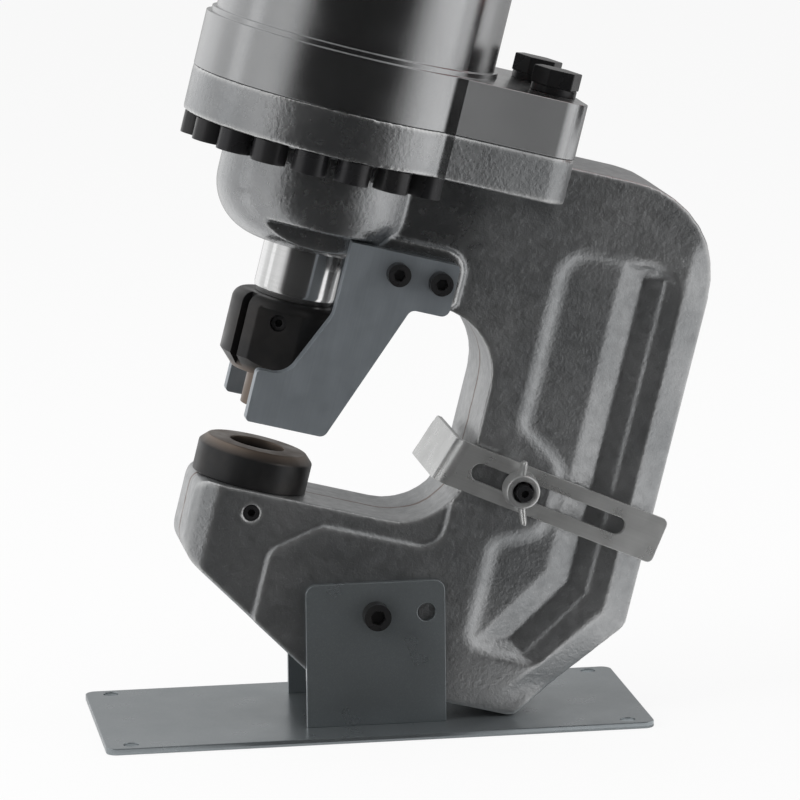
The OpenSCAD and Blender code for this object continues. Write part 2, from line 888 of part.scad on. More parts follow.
module lobe_washers() {
    color("black") on_stand() both_sides() translate([lobe_bolt_u, -lobe_bolt_y, flange_top_w])
        difference() {
            cylinder(d = spring_washer[0], h = spring_washer[2]);
            translate([0, 0, -over]) cylinder(d = spring_washer[1], h = spring_washer[2] + 2 * over);
            translate([0, -spring_washer[3] / 2, -over])
                cube([spring_washer[0], spring_washer[3], spring_washer[2] + 2 * over]);
        }
}

// Piston and rod in one piece, turned
module ram() {
    color("gainsboro") on_stand() rotate_extrude() polygon([
        [0, ram_low - ram_tip_l], [ram_tip_d / 2, ram_low - ram_tip_l], [ram_tip_d / 2, ram_low],
        [ram_d / 2 - ram_bevel_in, ram_low], [ram_d / 2, ram_low + ram_bevel],
        [ram_d / 2, piston_w], [bore_d / 2 - fit, piston_w],
        [bore_d / 2 - fit, piston_w + piston_h / 2 - seal_w / 2],
        [bore_d / 2 - seal_deep, piston_w + piston_h / 2 - seal_w / 2],
        [bore_d / 2 - seal_deep, piston_w + piston_h / 2 + seal_w / 2],
        [bore_d / 2 - fit, piston_w + piston_h / 2 + seal_w / 2],
        [bore_d / 2 - fit, piston_top], [0, piston_top]]);
}

// Ring of outer diameter d1 and inner diameter d0 from w0 to w1
module ring(d1, d0, w0, w1) {
    difference() {
        rod_w(d1, w0, w1);
        rod_w(d0, w0 - over, w1 + over);
    }
}

module piston_seal() {
    mid = piston_w + piston_h / 2;
    color("darkgreen") on_stand() ring(bore_d, bore_d - 2 * seal_deep + 2 * fit,
        mid - seal_w / 2 + fit, mid + seal_w / 2 - fit);
}

module rod_bush() {
    color("darkgoldenrod") on_stand() ring(bush_d, ram_d + 2 * fit, bush_low, seam_h - fit);
}

module rod_wiper() {
    color("black") on_stand() ring(wiper_d, ram_d + 2 * fit, boss_low, wiper_low);
}

module return_spring() {
    color("slategray") on_stand() coil(spring_wire, spring_mean, spring_turns, spring_sides,
        spring_rings, seam_h + spring_gap, piston_w - spring_gap);
}

// Turned holder with a flat for its screw and a guide groove
module punch_holder() {
    r = holder_d / 2;
    color("black") on_stand() difference() {
        rotate_extrude() union() {
            polygon([[0, holder_low], [r - holder_cone, holder_low], [r, holder_low + holder_cone],
                [r, holder_top - holder_shoulder_h], [0, holder_top - holder_shoulder_h]]);
            intersection() {
                translate([0, holder_top - holder_shoulder_h])
                    square([r, holder_shoulder_h]);
                translate([r - holder_shoulder_h, holder_top - holder_shoulder_h])
                    circle(r = holder_shoulder_h);
            }
            translate([0, holder_top - holder_shoulder_h])
                square([r - holder_shoulder_h, holder_shoulder_h]);
        }
        rod_w(ram_tip_d + 2 * fit, ram_low - ram_tip_l - fit, holder_top + over);
        rod_w(punch_shank_d + 2 * fit, holder_low - over, holder_low + punch_shank_l + fit);
        rotate([0, 0, -holder_flat_turn]) block([-r, -r - over, holder_low + holder_flat_low],
            [r, -holder_flat, holder_top - holder_flat_top]);
        rotate([0, 0, -holder_flat_turn])
            rod_y(m6[0] + 2 * fit, -r, -ram_tip_d / 2 + over, 0, holder_screw_w);
        rotate([0, 0, -groove_turn]) block([-groove_w / 2, -r - over, holder_low - over],
            [groove_w / 2, -r + groove_deep, holder_top + over]);
    }
}

module holder_screw() {
    color("dimgray") on_stand() rotate([0, 0, -holder_flat_turn])
        translate([0, -ram_tip_d / 2 - fit - holder_screw_l + holder_screw_in, holder_screw_w])
            rotate([90, 0, 0]) set_screw(m6[0], holder_screw_l - holder_screw_in, die_screw_key);
}

module punch() {
    color("slategray") on_stand() {
        rod_w(punch_d, tip_h, holder_low);
        rod_w(punch_shank_d, holder_low - fit, holder_low + punch_shank_l);
    }
}

module die() {
    bore = punch_d + die_gap;
    color("darkslategray") on_stand() rotate_extrude() polygon([
        [bore / 2, 0], [bore / 2, -die_bore_taper], [slug_d / 2 - fit, -die_bore_taper - over],
        [slug_d / 2 - fit, jaw_top - die_shank_l], [die_shank_d / 2, jaw_top - die_shank_l],
        [die_shank_d / 2, jaw_top], [die_d / 2, jaw_top], [die_d / 2, -die_bevel],
        [die_d / 2 - die_bevel, 0]]);
}

module die_screw() {
    l = half - rim_drop - die_screw_sunk - die_shank_d / 2;
    color("dimgray") on_stand() translate([0, -half + rim_drop + die_screw_sunk, die_screw_w])
        rotate([90, 0, 0]) set_screw(m6[0], l, die_screw_key);
}

// Front stripper plate on its milled seat
module stripper() {
    difference() {
        along_y(-strip_seat / 2 - strip_t, -strip_seat / 2) polygon(rounded([
            [-strip_toe, strip_low, strip_fine_r], [strip_heel, strip_low, strip_r],
            [strip_lug_front, strip_lug_low, strip_r], [strip_back, strip_lug_low, strip_r],
            [strip_back, strip_top, strip_fine_r], [strip_front, strip_top, 0],
            [strip_neck_u, strip_neck_w, strip_neck_r],
            [strip_shelf_back, strip_shelf, strip_neck_r],
            [-strip_toe, strip_shelf, strip_fine_r]], arc_n));
        for (u = strip_screw_u) rod_y(m5[0] + 2 * fit, -strip_seat / 2 - strip_t - over,
            -strip_seat / 2 + over, u, strip_screw_w);
    }
}

module stripper_front() {
    color("slategray") on_stand() stripper();
}

module stripper_rear() {
    color("slategray") on_stand() mirror([0, 1, 0]) stripper();
}

module stripper_screws() {
    color("black") on_stand() both_sides() for (u = strip_screw_u)
        translate([u, -strip_seat / 2 - strip_t, strip_screw_w])
            rotate([90, 0, 0]) cap_screw(m5, strip_screw_l);
}

// Gauge's own frame: its zero on the stud, X along the bar, Z across it
module at_gauge() {
    on_stand() translate([stud_u, 0, stud_w]) rotate([0, gauge_slope, 0]) children();
}

module gauge_bar() {
    hw = gauge_w / 2;
    color("lightgray") at_gauge() {
        difference() {
            along_y(gauge_back - gauge_t, gauge_back) polygon(rounded([
                [gauge_x - gauge_skew / 2, -hw, 0], [gauge_x + gauge_l, -hw, gauge_r],
                [gauge_x + gauge_l, hw, gauge_r], [gauge_x + gauge_skew / 2, hw, 0]], arc_n));
            along_y(gauge_back - gauge_t - over, gauge_back + over) union() {
                for (x = [-stud_at, slot_l - stud_at]) translate([x, 0]) circle(d = slot_w);
                translate([-stud_at, -slot_w / 2]) square([slot_l, slot_w]);
            }
        }
        along_y(gauge_back - over, gauge_back - gauge_t + tab_l) polygon([
            [gauge_x - gauge_skew / 2, -hw], [gauge_x - gauge_skew / 2 + gauge_t, -hw],
            [gauge_x + gauge_skew / 2 + gauge_t, hw], [gauge_x + gauge_skew / 2, hw]]);
    }
}

module gauge_stud() {
    color("dimgray") at_gauge() translate([0, -half - stud_out, 0]) rotate([90, 0, 0])
        set_screw(m6[0], stud_l, die_screw_key);
}

module gauge_washer() {
    y = gauge_back - gauge_t;
    color("lightgray") at_gauge() difference() {
        rod_y(washer_d, y - washer_t, y, 0, 0);
        rod_y(slot_w, y - washer_t - over, y + over, 0, 0);
    }
}

module wing_nut() {
    y = gauge_back - gauge_t - washer_t;
    color("lightgray") at_gauge() difference() {
        union() {
            translate([0, y, 0]) rotate([90, 0, 0]) cylinder(d1 = nut_d, d2 = nut_top_d, h = nut_h);
            rotate([0, wing_turn, 0]) for (s = [0, 180]) rotate([0, s, 0])
                translate([-wing_t / 2, 0, 0]) rotate([90, 0, 90]) linear_extrude(wing_t)
                    polygon(rounded([[y, 0, 0], [y, wing_root, 0], [y - wing_h / 3, nut_d / 2, wing_t],
                        [y - wing_h / 2, wing_reach, wing_t], [y - wing_h, wing_reach, wing_t],
                        [y - nut_h, 0, 0]], arc_n));
        }
        rod_y(m6[0] + 2 * fit, y - wing_h - over, y + over, 0, 0);
    }
}

// Lays what runs along Z down along the tool's X, at height w
module along_u(u, w) {
    translate([u, 0, w]) rotate([0, 90, 0]) children();
}

// Pump block on a round foot, bored for its shaft, plunger and screws
module pump_body() {
    color("dimgray") on_stand() difference() {
        union() {
            loft(rounded([[-pump_front, cyl_top, 0], [pump_back, cyl_top, 0],
                [pump_back, pump_top, pump_r], [-pump_front, pump_top, pump_r]], arc_n),
                slab_levels(pump_w / 2, pump_edge, edge_n));
            rod_w(cyl_d, cyl_top, cyl_top + pump_foot_h);
        }
        for (t = pump_screw_turns) rotate([0, 0, t])
            rod_w(m6[0] + 2 * fit, cyl_top - over, cyl_top + pump_foot_h + over, pump_screw_r);
        along_u(shaft_front, shaft_w) cylinder(d = front_bearing_d + 2 * fit, h = pump_l);
        along_u(ecc_u - chamber_gap, shaft_w) cylinder(d = back_bearing_d + 2 * fit, h = pump_l);
        rod_w(plunger_d + 2 * fit, cyl_top - over, shaft_w, ecc_u + ecc_l / 2);
        rod_w(plunger_well_d, cyl_top + plunger_well_h, shaft_w, ecc_u + ecc_l / 2);
        along_u(-pump_front - over, cap_w)
            cylinder(r = cap_r - cap_wall + fit, h = cap_thread_l + over);
        rod_w(plug_thread + 2 * fit, pump_top - plug_thread_l - fit, pump_top + over, plug_u);
        rod_y(m5[0] + 2 * fit, -pump_w / 2 - over,
            -pump_w / 2 - lever_t + lever_screw_l + fit, lever_u, lever_w);
        both_sides() for (w = [shaft_w - case_screw_low, motor_w + case_screw_high])
            translate([0, -case_screw_y, 0]) along_u(pump_back - case_screw_grip - fit, w)
                cylinder(d = m4[0] + 2 * fit, h = pump_l);
    }
}

module pump_screws() {
    color("black") on_stand() for (t = pump_screw_turns) rotate([0, 0, t])
        translate([pump_screw_r, 0, cyl_top + pump_foot_h])
            cap_screw(m6, pump_foot_h + pump_screw_in);
}

// Turned cap that closes the oil reservoir
module reservoir_cap() {
    wall_r = cap_r - cap_wall;
    color("dimgray") on_stand() along_u(-pump_front, cap_w) rotate([180, 0, 0]) rotate_extrude()
        difference() {
            union() {
                square([cap_r, cap_l - cap_round]);
                square([cap_r - cap_round, cap_l]);
                translate([cap_r - cap_round, cap_l - cap_round]) intersection() {
                    circle(r = cap_round);
                    square([cap_round, cap_round]);
                }
                translate([0, -cap_thread_l + fit]) square([wall_r, cap_thread_l]);
            }
            translate([-over, -cap_thread_l - over])
                square([wall_r - cap_wall + over, cap_l + cap_thread_l - cap_wall + over]);
        }
}

// Rubber bladder that keeps the oil off the air
module oil_bladder() {
    r = cap_r - 2 * cap_wall - bladder_gap;
    l = cap_l - cap_wall - bladder_gap;
    color("black") on_stand() along_u(-pump_front, cap_w) rotate([180, 0, 0]) difference() {
        union() {
            cylinder(r = r, h = l);
            translate([0, 0, -cap_thread_l + fit])
                cylinder(r = cap_r - 2 * cap_wall - fit, h = bladder_wall);
            translate([0, 0, -cap_thread_l + fit]) cylinder(r = r, h = cap_thread_l);
        }
        translate([0, 0, -cap_thread_l - over])
            cylinder(r = r - bladder_wall, h = l + cap_thread_l + over - bladder_wall);
    }
}

module oil_plug() {
    color("silver") on_stand() translate([plug_u, 0, pump_top]) difference() {
        union() {
            cylinder(d = plug_d, h = plug_h);
            translate([0, 0, -plug_thread_l]) cylinder(d = plug_thread, h = plug_thread_l + over);
        }
        translate([0, 0, plug_h / 4]) cylinder(d = plug_key / cos(30), h = plug_h, $fn = 6);
    }
}

// Pressure release lever; its hub turns on the lever screw
module release_lever() {
    y = -pump_w / 2;
    color("firebrick") on_stand() translate([lever_u, 0, lever_w]) difference() {
        rotate([0, -lever_slope, 0]) along_y(y - lever_t, y) union() {
            circle(d = lever_hub);
            translate([-lever_l, 0]) circle(r = lever_tip);
            polygon([[-lever_l, lever_neck - lever_tip], [0, lever_neck - lever_hub / 2],
                [0, lever_hub / 2 - lever_neck], [-lever_l, lever_tip - lever_neck]]);
        }
        rod_y(m5[0] + 2 * fit, y - lever_t - over, y + over, 0, 0);
    }
}

module lever_screw() {
    color("black") on_stand() translate([lever_u, -pump_w / 2 - lever_t, lever_w])
        rotate([90, 0, 0]) cap_screw(m5, lever_screw_l);
}

// Drive shaft with its eccentric, turned to its lowest point
module eccentric_shaft() {
    color("silver") on_stand() {
        along_u(shaft_front, shaft_w)
            cylinder(d = shaft_d, h = gear_start + gear_l - shaft_front);
        along_u(ecc_u, shaft_w - throw) cylinder(d = ecc_d, h = ecc_l);
    }
}

module eccentric_bearing() {
    color("gray") on_stand() along_u(ecc_u, shaft_w - throw) difference() {
        cylinder(d = ecc_ring_d, h = ecc_l);
        translate([0, 0, -over]) cylinder(d = ecc_d + 2 * fit, h = ecc_l + 2 * over);
    }
}

module shaft_bearings() {
    color("gainsboro") on_stand() {
        along_u(shaft_front, shaft_w) ball_bearing(front_bearing_d, shaft_d + 2 * fit, bearing_l);
        along_u(pump_back - bearing_l, shaft_w)
            ball_bearing(back_bearing_d, shaft_d + 2 * fit, bearing_l);
    }
}

module drive_gear() {
    color("gray") on_stand() along_u(gear_start, shaft_w)
        gear(gear_z, gear_l, shaft_d + 2 * fit, 0);
}

// Pump plunger at the bottom of its travel
module plunger() {
    color("gainsboro") on_stand() {
        rod_w(plunger_d, plunger_top - plunger_l, plunger_top, ecc_u + ecc_l / 2);
        rod_w(plunger_head_d, plunger_top - plunger_head_h, plunger_top, ecc_u + ecc_l / 2);
    }
}

module plunger_spring() {
    color("slategray") on_stand() translate([ecc_u + ecc_l / 2, 0, 0])
        coil(pspring_wire, pspring_mean, pspring_turns, spring_sides, pspring_rings,
            cyl_top + plunger_well_h + fit, plunger_top - plunger_head_h - fit);
}

// Outline of the gear case: a round end for each shaft
module case_outline(low_r, high_r) {
    rise = motor_w - shaft_w;
    circle(r = low_r);
    translate([-rise, 0]) circle(r = high_r);
    polygon([[0, -low_r], [0, low_r], [-rise, high_r], [-rise, -high_r]]);
}

module gear_case() {
    gear_r = gear_m * (gear_z / 2 + tooth_top) + case_gap;
    pinion_r = mbearing_d / 2;
    cavity = gear_start - pump_back + gear_l + case_gap;
    color("dimgray") on_stand() difference() {
        along_u(pump_back, shaft_w) difference() {
            linear_extrude(case_l) case_outline(case_low_r, case_high_r);
            translate([0, 0, -over]) cylinder(r = gear_r, h = cavity + over);
            translate([shaft_w - motor_w, 0, -over]) cylinder(r = pinion_r, h = cavity + over);
            translate([shaft_w - motor_w, 0, case_l - mbearing_l])
                cylinder(d = mbearing_d + 2 * fit, h = mbearing_l + over);
            translate([shaft_w - motor_w, 0, 0]) cylinder(d = rotor_d + 2 * over, h = case_l);
        }
        both_sides() for (w = [shaft_w - case_screw_low, motor_w + case_screw_high])
            translate([0, -case_screw_y, 0]) along_u(pump_back - over, w)
                cylinder(d = m4[0] + 2 * fit, h = case_l + 2 * over);
    }
}

module case_screws() {
    color("black") on_stand() both_sides()
        for (w = [shaft_w - case_screw_low, motor_w + case_screw_high])
            translate([0, -case_screw_y, 0]) along_u(motor_front, w)
                cap_screw(m4, case_l + case_screw_grip);
}

// Motor shaft with its pinion, laminated core and commutator
module rotor() {
    color("peru") on_stand() {
        along_u(gear_start, motor_w) cylinder(d = rotor_d, h = rotor_back - gear_start);
        along_u(gear_start, motor_w) gear(pinion_z, gear_l, rotor_d - over, 180 / pinion_z);
        along_u(arm_start, motor_w) cylinder(d = arm_d, h = arm_l);
        along_u(comm_start, motor_w) cylinder(d = comm_d, h = comm_l);
    }
}

module rotor_bearings() {
    color("gainsboro") on_stand() for (u = [motor_front - mbearing_l, mbearing_start])
        along_u(u, motor_w) ball_bearing(mbearing_d, rotor_d + 2 * fit, mbearing_l);
}

module stator() {
    color("slategray") on_stand() along_u(stator_start, motor_w) difference() {
        cylinder(d = stator_d, h = stator_l);
        translate([0, 0, -over]) cylinder(d = stator_bore, h = stator_l + 2 * over);
    }
}

module cooling_fan() {
    color("black") on_stand() along_u(fan_start, motor_w) difference() {
        union() {
            cylinder(d = fan_d, h = fan_blade_t);
            translate([0, 0, fan_blade_t / 2]) linear_extrude(fan_l - fan_blade_t / 2) union() {
                circle(d = fan_hub_d);
                for (k = [1:fan_blades]) rotate(360 * k / fan_blades)
                    translate([0, -fan_blade_t / 2]) square([fan_d / 2 - fan_blade_t, fan_blade_t]);
            }
        }
        translate([0, 0, -over]) cylinder(d = rotor_d + 2 * fit, h = fan_l + 2 * over);
    }
}

// Outside of the housing, or its hollow when drawn in by d
module housing(d) {
    along_u(motor_front - (d > 0 ? over : 0), motor_w)
        cylinder(r = barrel_r - d, h = barrel_l - (d > 0 ? end_wall - over : 0));
    loft(inset(rounded([
        [pack_u, foot_low, grip_r], [grip_u + grip_d / 2 + grip_flare, foot_low, grip_r],
        [grip_u + grip_d / 2, grip_low + grip_flare, grip_r], [grip_u + grip_d / 2, motor_w, 0],
        [grip_front, motor_w, 0], [grip_front, grip_low + grip_flare + grip_r, grip_r],
        [pack_u, grip_low, grip_r]], arc_n), d), slab_levels(grip_w / 2 - d, grip_edge - d, edge_n));
    if (d == 0) loft(rounded([
        [pack_u, foot_low, foot_r], [pack_u + pack_l, foot_low, foot_r],
        [pack_u + pack_l, grip_low, foot_r], [pack_u, grip_low, foot_r]], arc_n),
        slab_levels(pack_w / 2, foot_r, edge_n));
}

// One half of the housing; the half on the +Y side is cut away
module shell() {
    difference() {
        union() {
            difference() {
                housing(0);
                difference() {
                    housing(wall);
                    block([pack_u - over, -pack_w, foot_low - over],
                        [pack_u + pack_l, pack_w, grip_low - wall]);
                }
            }
            for (u = [stator_start + rib_t, stator_start + stator_l - 2 * rib_t])
                along_u(u, motor_w) difference() {
                    cylinder(r = barrel_r - wall / 2, h = rib_t);
                    translate([0, 0, -over]) cylinder(d = stator_d + 2 * fit, h = rib_t + 2 * over);
                }
            along_u(mbearing_start, motor_w) cylinder(r = barrel_r - wall / 2, h = mbearing_l);
            for (p = shell_screws_at)
                rod_y(boss_d, -shell_screw_y - m4[2], 0, p[0], motor_w + p[1]);
        }
        along_u(mbearing_start - over, motor_w)
            cylinder(d = mbearing_d + 2 * fit, h = mbearing_l + 2 * over);
        for (p = shell_screws_at) {
            rod_y(shell_screw_d + 2 * fit, -shell_screw_l, over, p[0], motor_w + p[1]);
            rod_y(m4[1] + 2 * fit, -barrel_r - over, -shell_screw_y, p[0], motor_w + p[1]);
        }
        for (i = [0:vent_n - 1]) block([vent_start + i * vent_step, -barrel_r - over,
            motor_w - vent_l / 2], [vent_start + i * vent_step + vent_w,
            -barrel_r + vent_deep, motor_w + vent_l / 2]);
        block([grip_front - over, -trigger_w / 2 - trigger_gap, trigger_top - trigger_h - trigger_gap],
            [grip_u, over, trigger_top + trigger_gap]);
        rod_y(lock_d + 2 * fit, -grip_w, over, grip_front + lock_in, barrel_low - lock_drop);
        block([pack_u + rail_in - terminal_l - pack_gap, -rail_w / 2 - pack_gap, foot_low - over],
            [pack_u + pack_l + over, over, foot_low + rail_h + pack_gap]);
        block([-pump_front, 0, 0], [pack_u + 2 * pack_l, pack_w, 2 * motor_w]);
    }
}

module shell_left() {
    color("firebrick") on_stand() shell();
}

module shell_right() {
    color("firebrick") on_stand() mirror([0, 1, 0]) shell();
}

module shell_screws() {
    color("black") on_stand() for (p = shell_screws_at)
        translate([p[0], -shell_screw_y, motor_w + p[1]])
            rotate([90, 0, 0]) cap_screw(m4, shell_screw_l);
}

module trigger() {
    color("black") on_stand() along_y(-trigger_w / 2, trigger_w / 2) polygon(rounded([
        [grip_front - trigger_out / 2, trigger_top - trigger_h, trigger_r],
        [grip_front + trigger_in, trigger_top - trigger_h, 0],
        [grip_front + trigger_in, trigger_top, 0],
        [grip_front - trigger_out, trigger_top, trigger_r]], arc_n));
}

// Switch behind the trigger, held between the shells
module switch_body() {
    side = grip_w / 2 - wall - fit;
    front = grip_front + trigger_in + trigger_travel + trigger_gap;
    color("black") on_stand() block([front, -side, trigger_top - trigger_h],
        [grip_u + grip_d / 2 - grip_edge, side, trigger_top - trigger_r]);
}

// Lock button that crosses the grip above the trigger
module lock_button() {
    color("gray") on_stand() rod_y(lock_d, -grip_w / 2 - lock_out, grip_w / 2 + lock_out,
        grip_front + lock_in, barrel_low - lock_drop);
}

module battery_pack() {
    top = foot_low - pack_gap;
    back = pack_u + pack_l;
    color("black") on_stand() difference() {
        union() {
            loft(rounded([[pack_u, top - pack_h, pack_r], [back, top - pack_h, pack_r],
                [back, top, pack_r], [pack_u, top, pack_r]], arc_n),
                slab_levels(pack_w / 2, pack_edge, edge_n));
            block([pack_u + rail_in, -rail_w / 2, top - over],
                [back - latch_t - pack_r, rail_w / 2, foot_low + rail_h]);
        }
        block([back - latch_t - pack_gap, -latch_w / 2 - pack_gap,
            top - latch_h - latch_travel - pack_gap],
            [back + over, latch_w / 2 + pack_gap, top + over]);
        for (i = [0:blade_n - 1]) let (y = (i - (blade_n - 1) / 2) * blade_step)
            block([pack_u + rail_in - over, y - blade_t, foot_low + blade_margin - pack_gap],
                [pack_u + rail_in + blade_l + pack_gap, y + blade_t, foot_low + rail_h + over]);
    }
}

// Latch of the pack; its tooth stands up against the end of the foot
module battery_latch() {
    top = foot_low - pack_gap;
    back = pack_u + pack_l;
    color("firebrick") on_stand() {
        block([back - latch_t, -latch_w / 2, top - latch_h], [back + latch_out, latch_w / 2, top]);
        block([back - latch_t, -rail_w / 4, top - over],
            [back - latch_t / 2, rail_w / 4, top + latch_tooth]);
    }
}

// Contact block at the front end of the foot's rail slot
module terminal_block() {
    low = foot_low + pack_gap;
    front = pack_u + rail_in - terminal_l;
    color("goldenrod") on_stand() {
        block([front, -rail_w / 2, low], [front + terminal_l - pack_gap, rail_w / 2, foot_low + rail_h]);
        for (i = [0:blade_n - 1]) let (y = (i - (blade_n - 1) / 2) * blade_step)
            block([front + terminal_l - over, y - blade_t / 2, foot_low + blade_margin],
                [front + terminal_l + blade_l, y + blade_t / 2, foot_low + rail_h - blade_margin]);
    }
}

base_plate();
upright_front();
upright_rear();
stand_screws();
c_frame();
head_flange();
cylinder_body();
flange_screws();
lobe_bolts();
lobe_washers();
ram();
piston_seal();
rod_bush();
rod_wiper();
return_spring();
punch_holder();
punch();
holder_screw();
die();
die_screw();
stripper_front();
stripper_rear();
stripper_screws();
gauge_bar();
gauge_stud();
gauge_washer();
wing_nut();
pump_body();
pump_screws();
reservoir_cap();
oil_bladder();
oil_plug();
release_lever();
lever_screw();
eccentric_shaft();
eccentric_bearing();
shaft_bearings();
drive_gear();
plunger();
plunger_spring();
gear_case();
case_screws();
rotor();
rotor_bearings();
stator();
cooling_fan();
shell_left();
shell_right();
shell_screws();
trigger();
switch_body();
lock_button();
battery_pack();
battery_latch();
terminal_block();
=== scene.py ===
"""Finishes, softened castings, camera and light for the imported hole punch."""

import json
import logging
import math
from collections.abc import Callable, Sequence
from dataclasses import dataclass, field
from enum import Enum
from typing import Any

import bmesh
import bpy
import numpy as np
from mathutils import Matrix, Vector
from mathutils.kdtree import KDTree


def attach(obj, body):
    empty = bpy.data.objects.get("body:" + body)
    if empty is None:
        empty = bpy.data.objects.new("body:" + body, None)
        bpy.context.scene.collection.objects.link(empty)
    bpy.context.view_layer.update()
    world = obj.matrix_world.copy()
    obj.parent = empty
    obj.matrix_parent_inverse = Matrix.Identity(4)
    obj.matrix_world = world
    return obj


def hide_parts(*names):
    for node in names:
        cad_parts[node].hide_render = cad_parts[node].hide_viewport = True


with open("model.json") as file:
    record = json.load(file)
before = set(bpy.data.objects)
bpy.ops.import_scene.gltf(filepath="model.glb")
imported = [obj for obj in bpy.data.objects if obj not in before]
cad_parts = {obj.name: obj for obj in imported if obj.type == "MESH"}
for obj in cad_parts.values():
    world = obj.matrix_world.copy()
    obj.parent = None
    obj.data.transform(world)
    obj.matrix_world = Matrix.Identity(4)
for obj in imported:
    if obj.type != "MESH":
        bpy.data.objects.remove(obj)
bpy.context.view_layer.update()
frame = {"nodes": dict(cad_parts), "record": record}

LOG = logging.getLogger("hole_punch")
Piece = bpy.types.Object
Material = bpy.types.Material
Socket = bpy.types.NodeSocket
Colour = tuple[float, float, float]
Point = tuple[float, float, float]
Span = tuple[float, float]

# Metres in a millimetre, and metres within which places and loose points count as one
MM = 0.001
TINY = 0.000001
WELD = 0.00001

# Millimetres by which a cutter stands out of what it cuts
THROUGH = 1.0

# Degrees of the tool's tilt and the gauge's slope, and within which faces count as one plane
TOOL_TILT = 14.5
GAUGE_SLOPE = 9.0
FLAT = 0.6

# Start and end of the flange's ears along the tilted tool, in the materials' metres
EARS: Span = (-0.0285, 0.0176)

WHITE: Colour = (1.0, 1.0, 1.0)
WHOLE: Point = (1.0, 1.0, 1.0)


class Lie(Enum):
    """Direction in which a surface was worked: scale of its marks, and their turn about Y."""

    ALONG_RAM = ((1400.0, 1400.0, 24.0), -TOOL_TILT)
    ROUND_RAM = ((20.0, 20.0, 2600.0), -TOOL_TILT)
    ALONG_BAR = ((18.0, 1500.0, 1500.0), -TOOL_TILT - GAUGE_SLOPE)
    NONE = ((260.0, 260.0, 260.0), 0.0)


def darker(colour: Colour, share: float) -> Colour:
    """Returns a colour with a share of its light."""
    return tuple(share * part for part in colour)


class Board:
    """Lays nodes on a tree."""

    def __init__(self, tree: bpy.types.NodeTree) -> None:
        """Clears the tree, which belongs to a material, a world or a node group."""
        self.tree = tree
        self.tree.nodes.clear()

    def feed(self, socket: Socket, value: Any) -> None:
        """Links an output to an input, or sets the input.

        Args:
            socket: The input.
            value: The output, or else a number, a vector or a colour.
        """
        if isinstance(value, Socket):
            self.tree.links.new(value, socket)
        elif socket.type == "RGBA":
            socket.default_value = (*value, 1.0)
        else:
            socket.default_value = value

    def add(self, kind: str, **values: Any) -> bpy.types.Node:
        """Adds a node, sets its properties and feeds its inputs.

        Args:
            kind: Blender's name of the node type.
            values: Properties in small letters, and inputs with a capital first letter and an
                underscore for a space.

        Returns:
            The new node.
        """
        node = self.tree.nodes.new(kind)
        for key, value in values.items():
            if key[0].islower():
                setattr(node, key, value)
            else:
                self.feed(node.inputs[key.replace("_", " ")], value)
        return node

    def row(self, kind: str, *values: Any, **properties: Any) -> Socket:
        """Adds a node and feeds its inputs in their order.

        Args:
            kind: Blender's name of the node type.
            values: What the inputs are fed with.
            properties: Properties of the node.

        Returns:
            Its first output.
        """
        node = self.add(kind, **properties)
        for socket, value in zip(node.inputs, values):
            self.feed(socket, value)
        return node.outputs[0]

    def times(self, one: Socket, two: Socket | float) -> Socket:
        """Multiplies a pattern by another one or by a number."""
        return self.row("ShaderNodeMath", one, two, operation="MULTIPLY")

    def spread(self, value: Socket, low: float, high: float, to_low: float, to_high: float) -> Socket:
        """Maps a pattern's range from low to high to the range from to_low to to_high."""
        return self.add("ShaderNodeMapRange", From_Min=low, From_Max=high, To_Min=to_low, To_Max=to_high,
                        Value=value).outputs["Result"]

    def turn(self, vector: Socket, axis: str, degrees: float) -> Socket:
        """Turns a vector about the axis X, Y or Z."""
        return self.add("ShaderNodeVectorRotate", rotation_type=f"{axis}_AXIS",
                        Angle=math.radians(degrees), Vector=vector).outputs["Vector"]

    def split(self, vector: Socket) -> bpy.types.NodeOutputs:
        """Splits a vector into the outputs X, Y and Z."""
        return self.add("ShaderNodeSeparateXYZ", Vector=vector).outputs


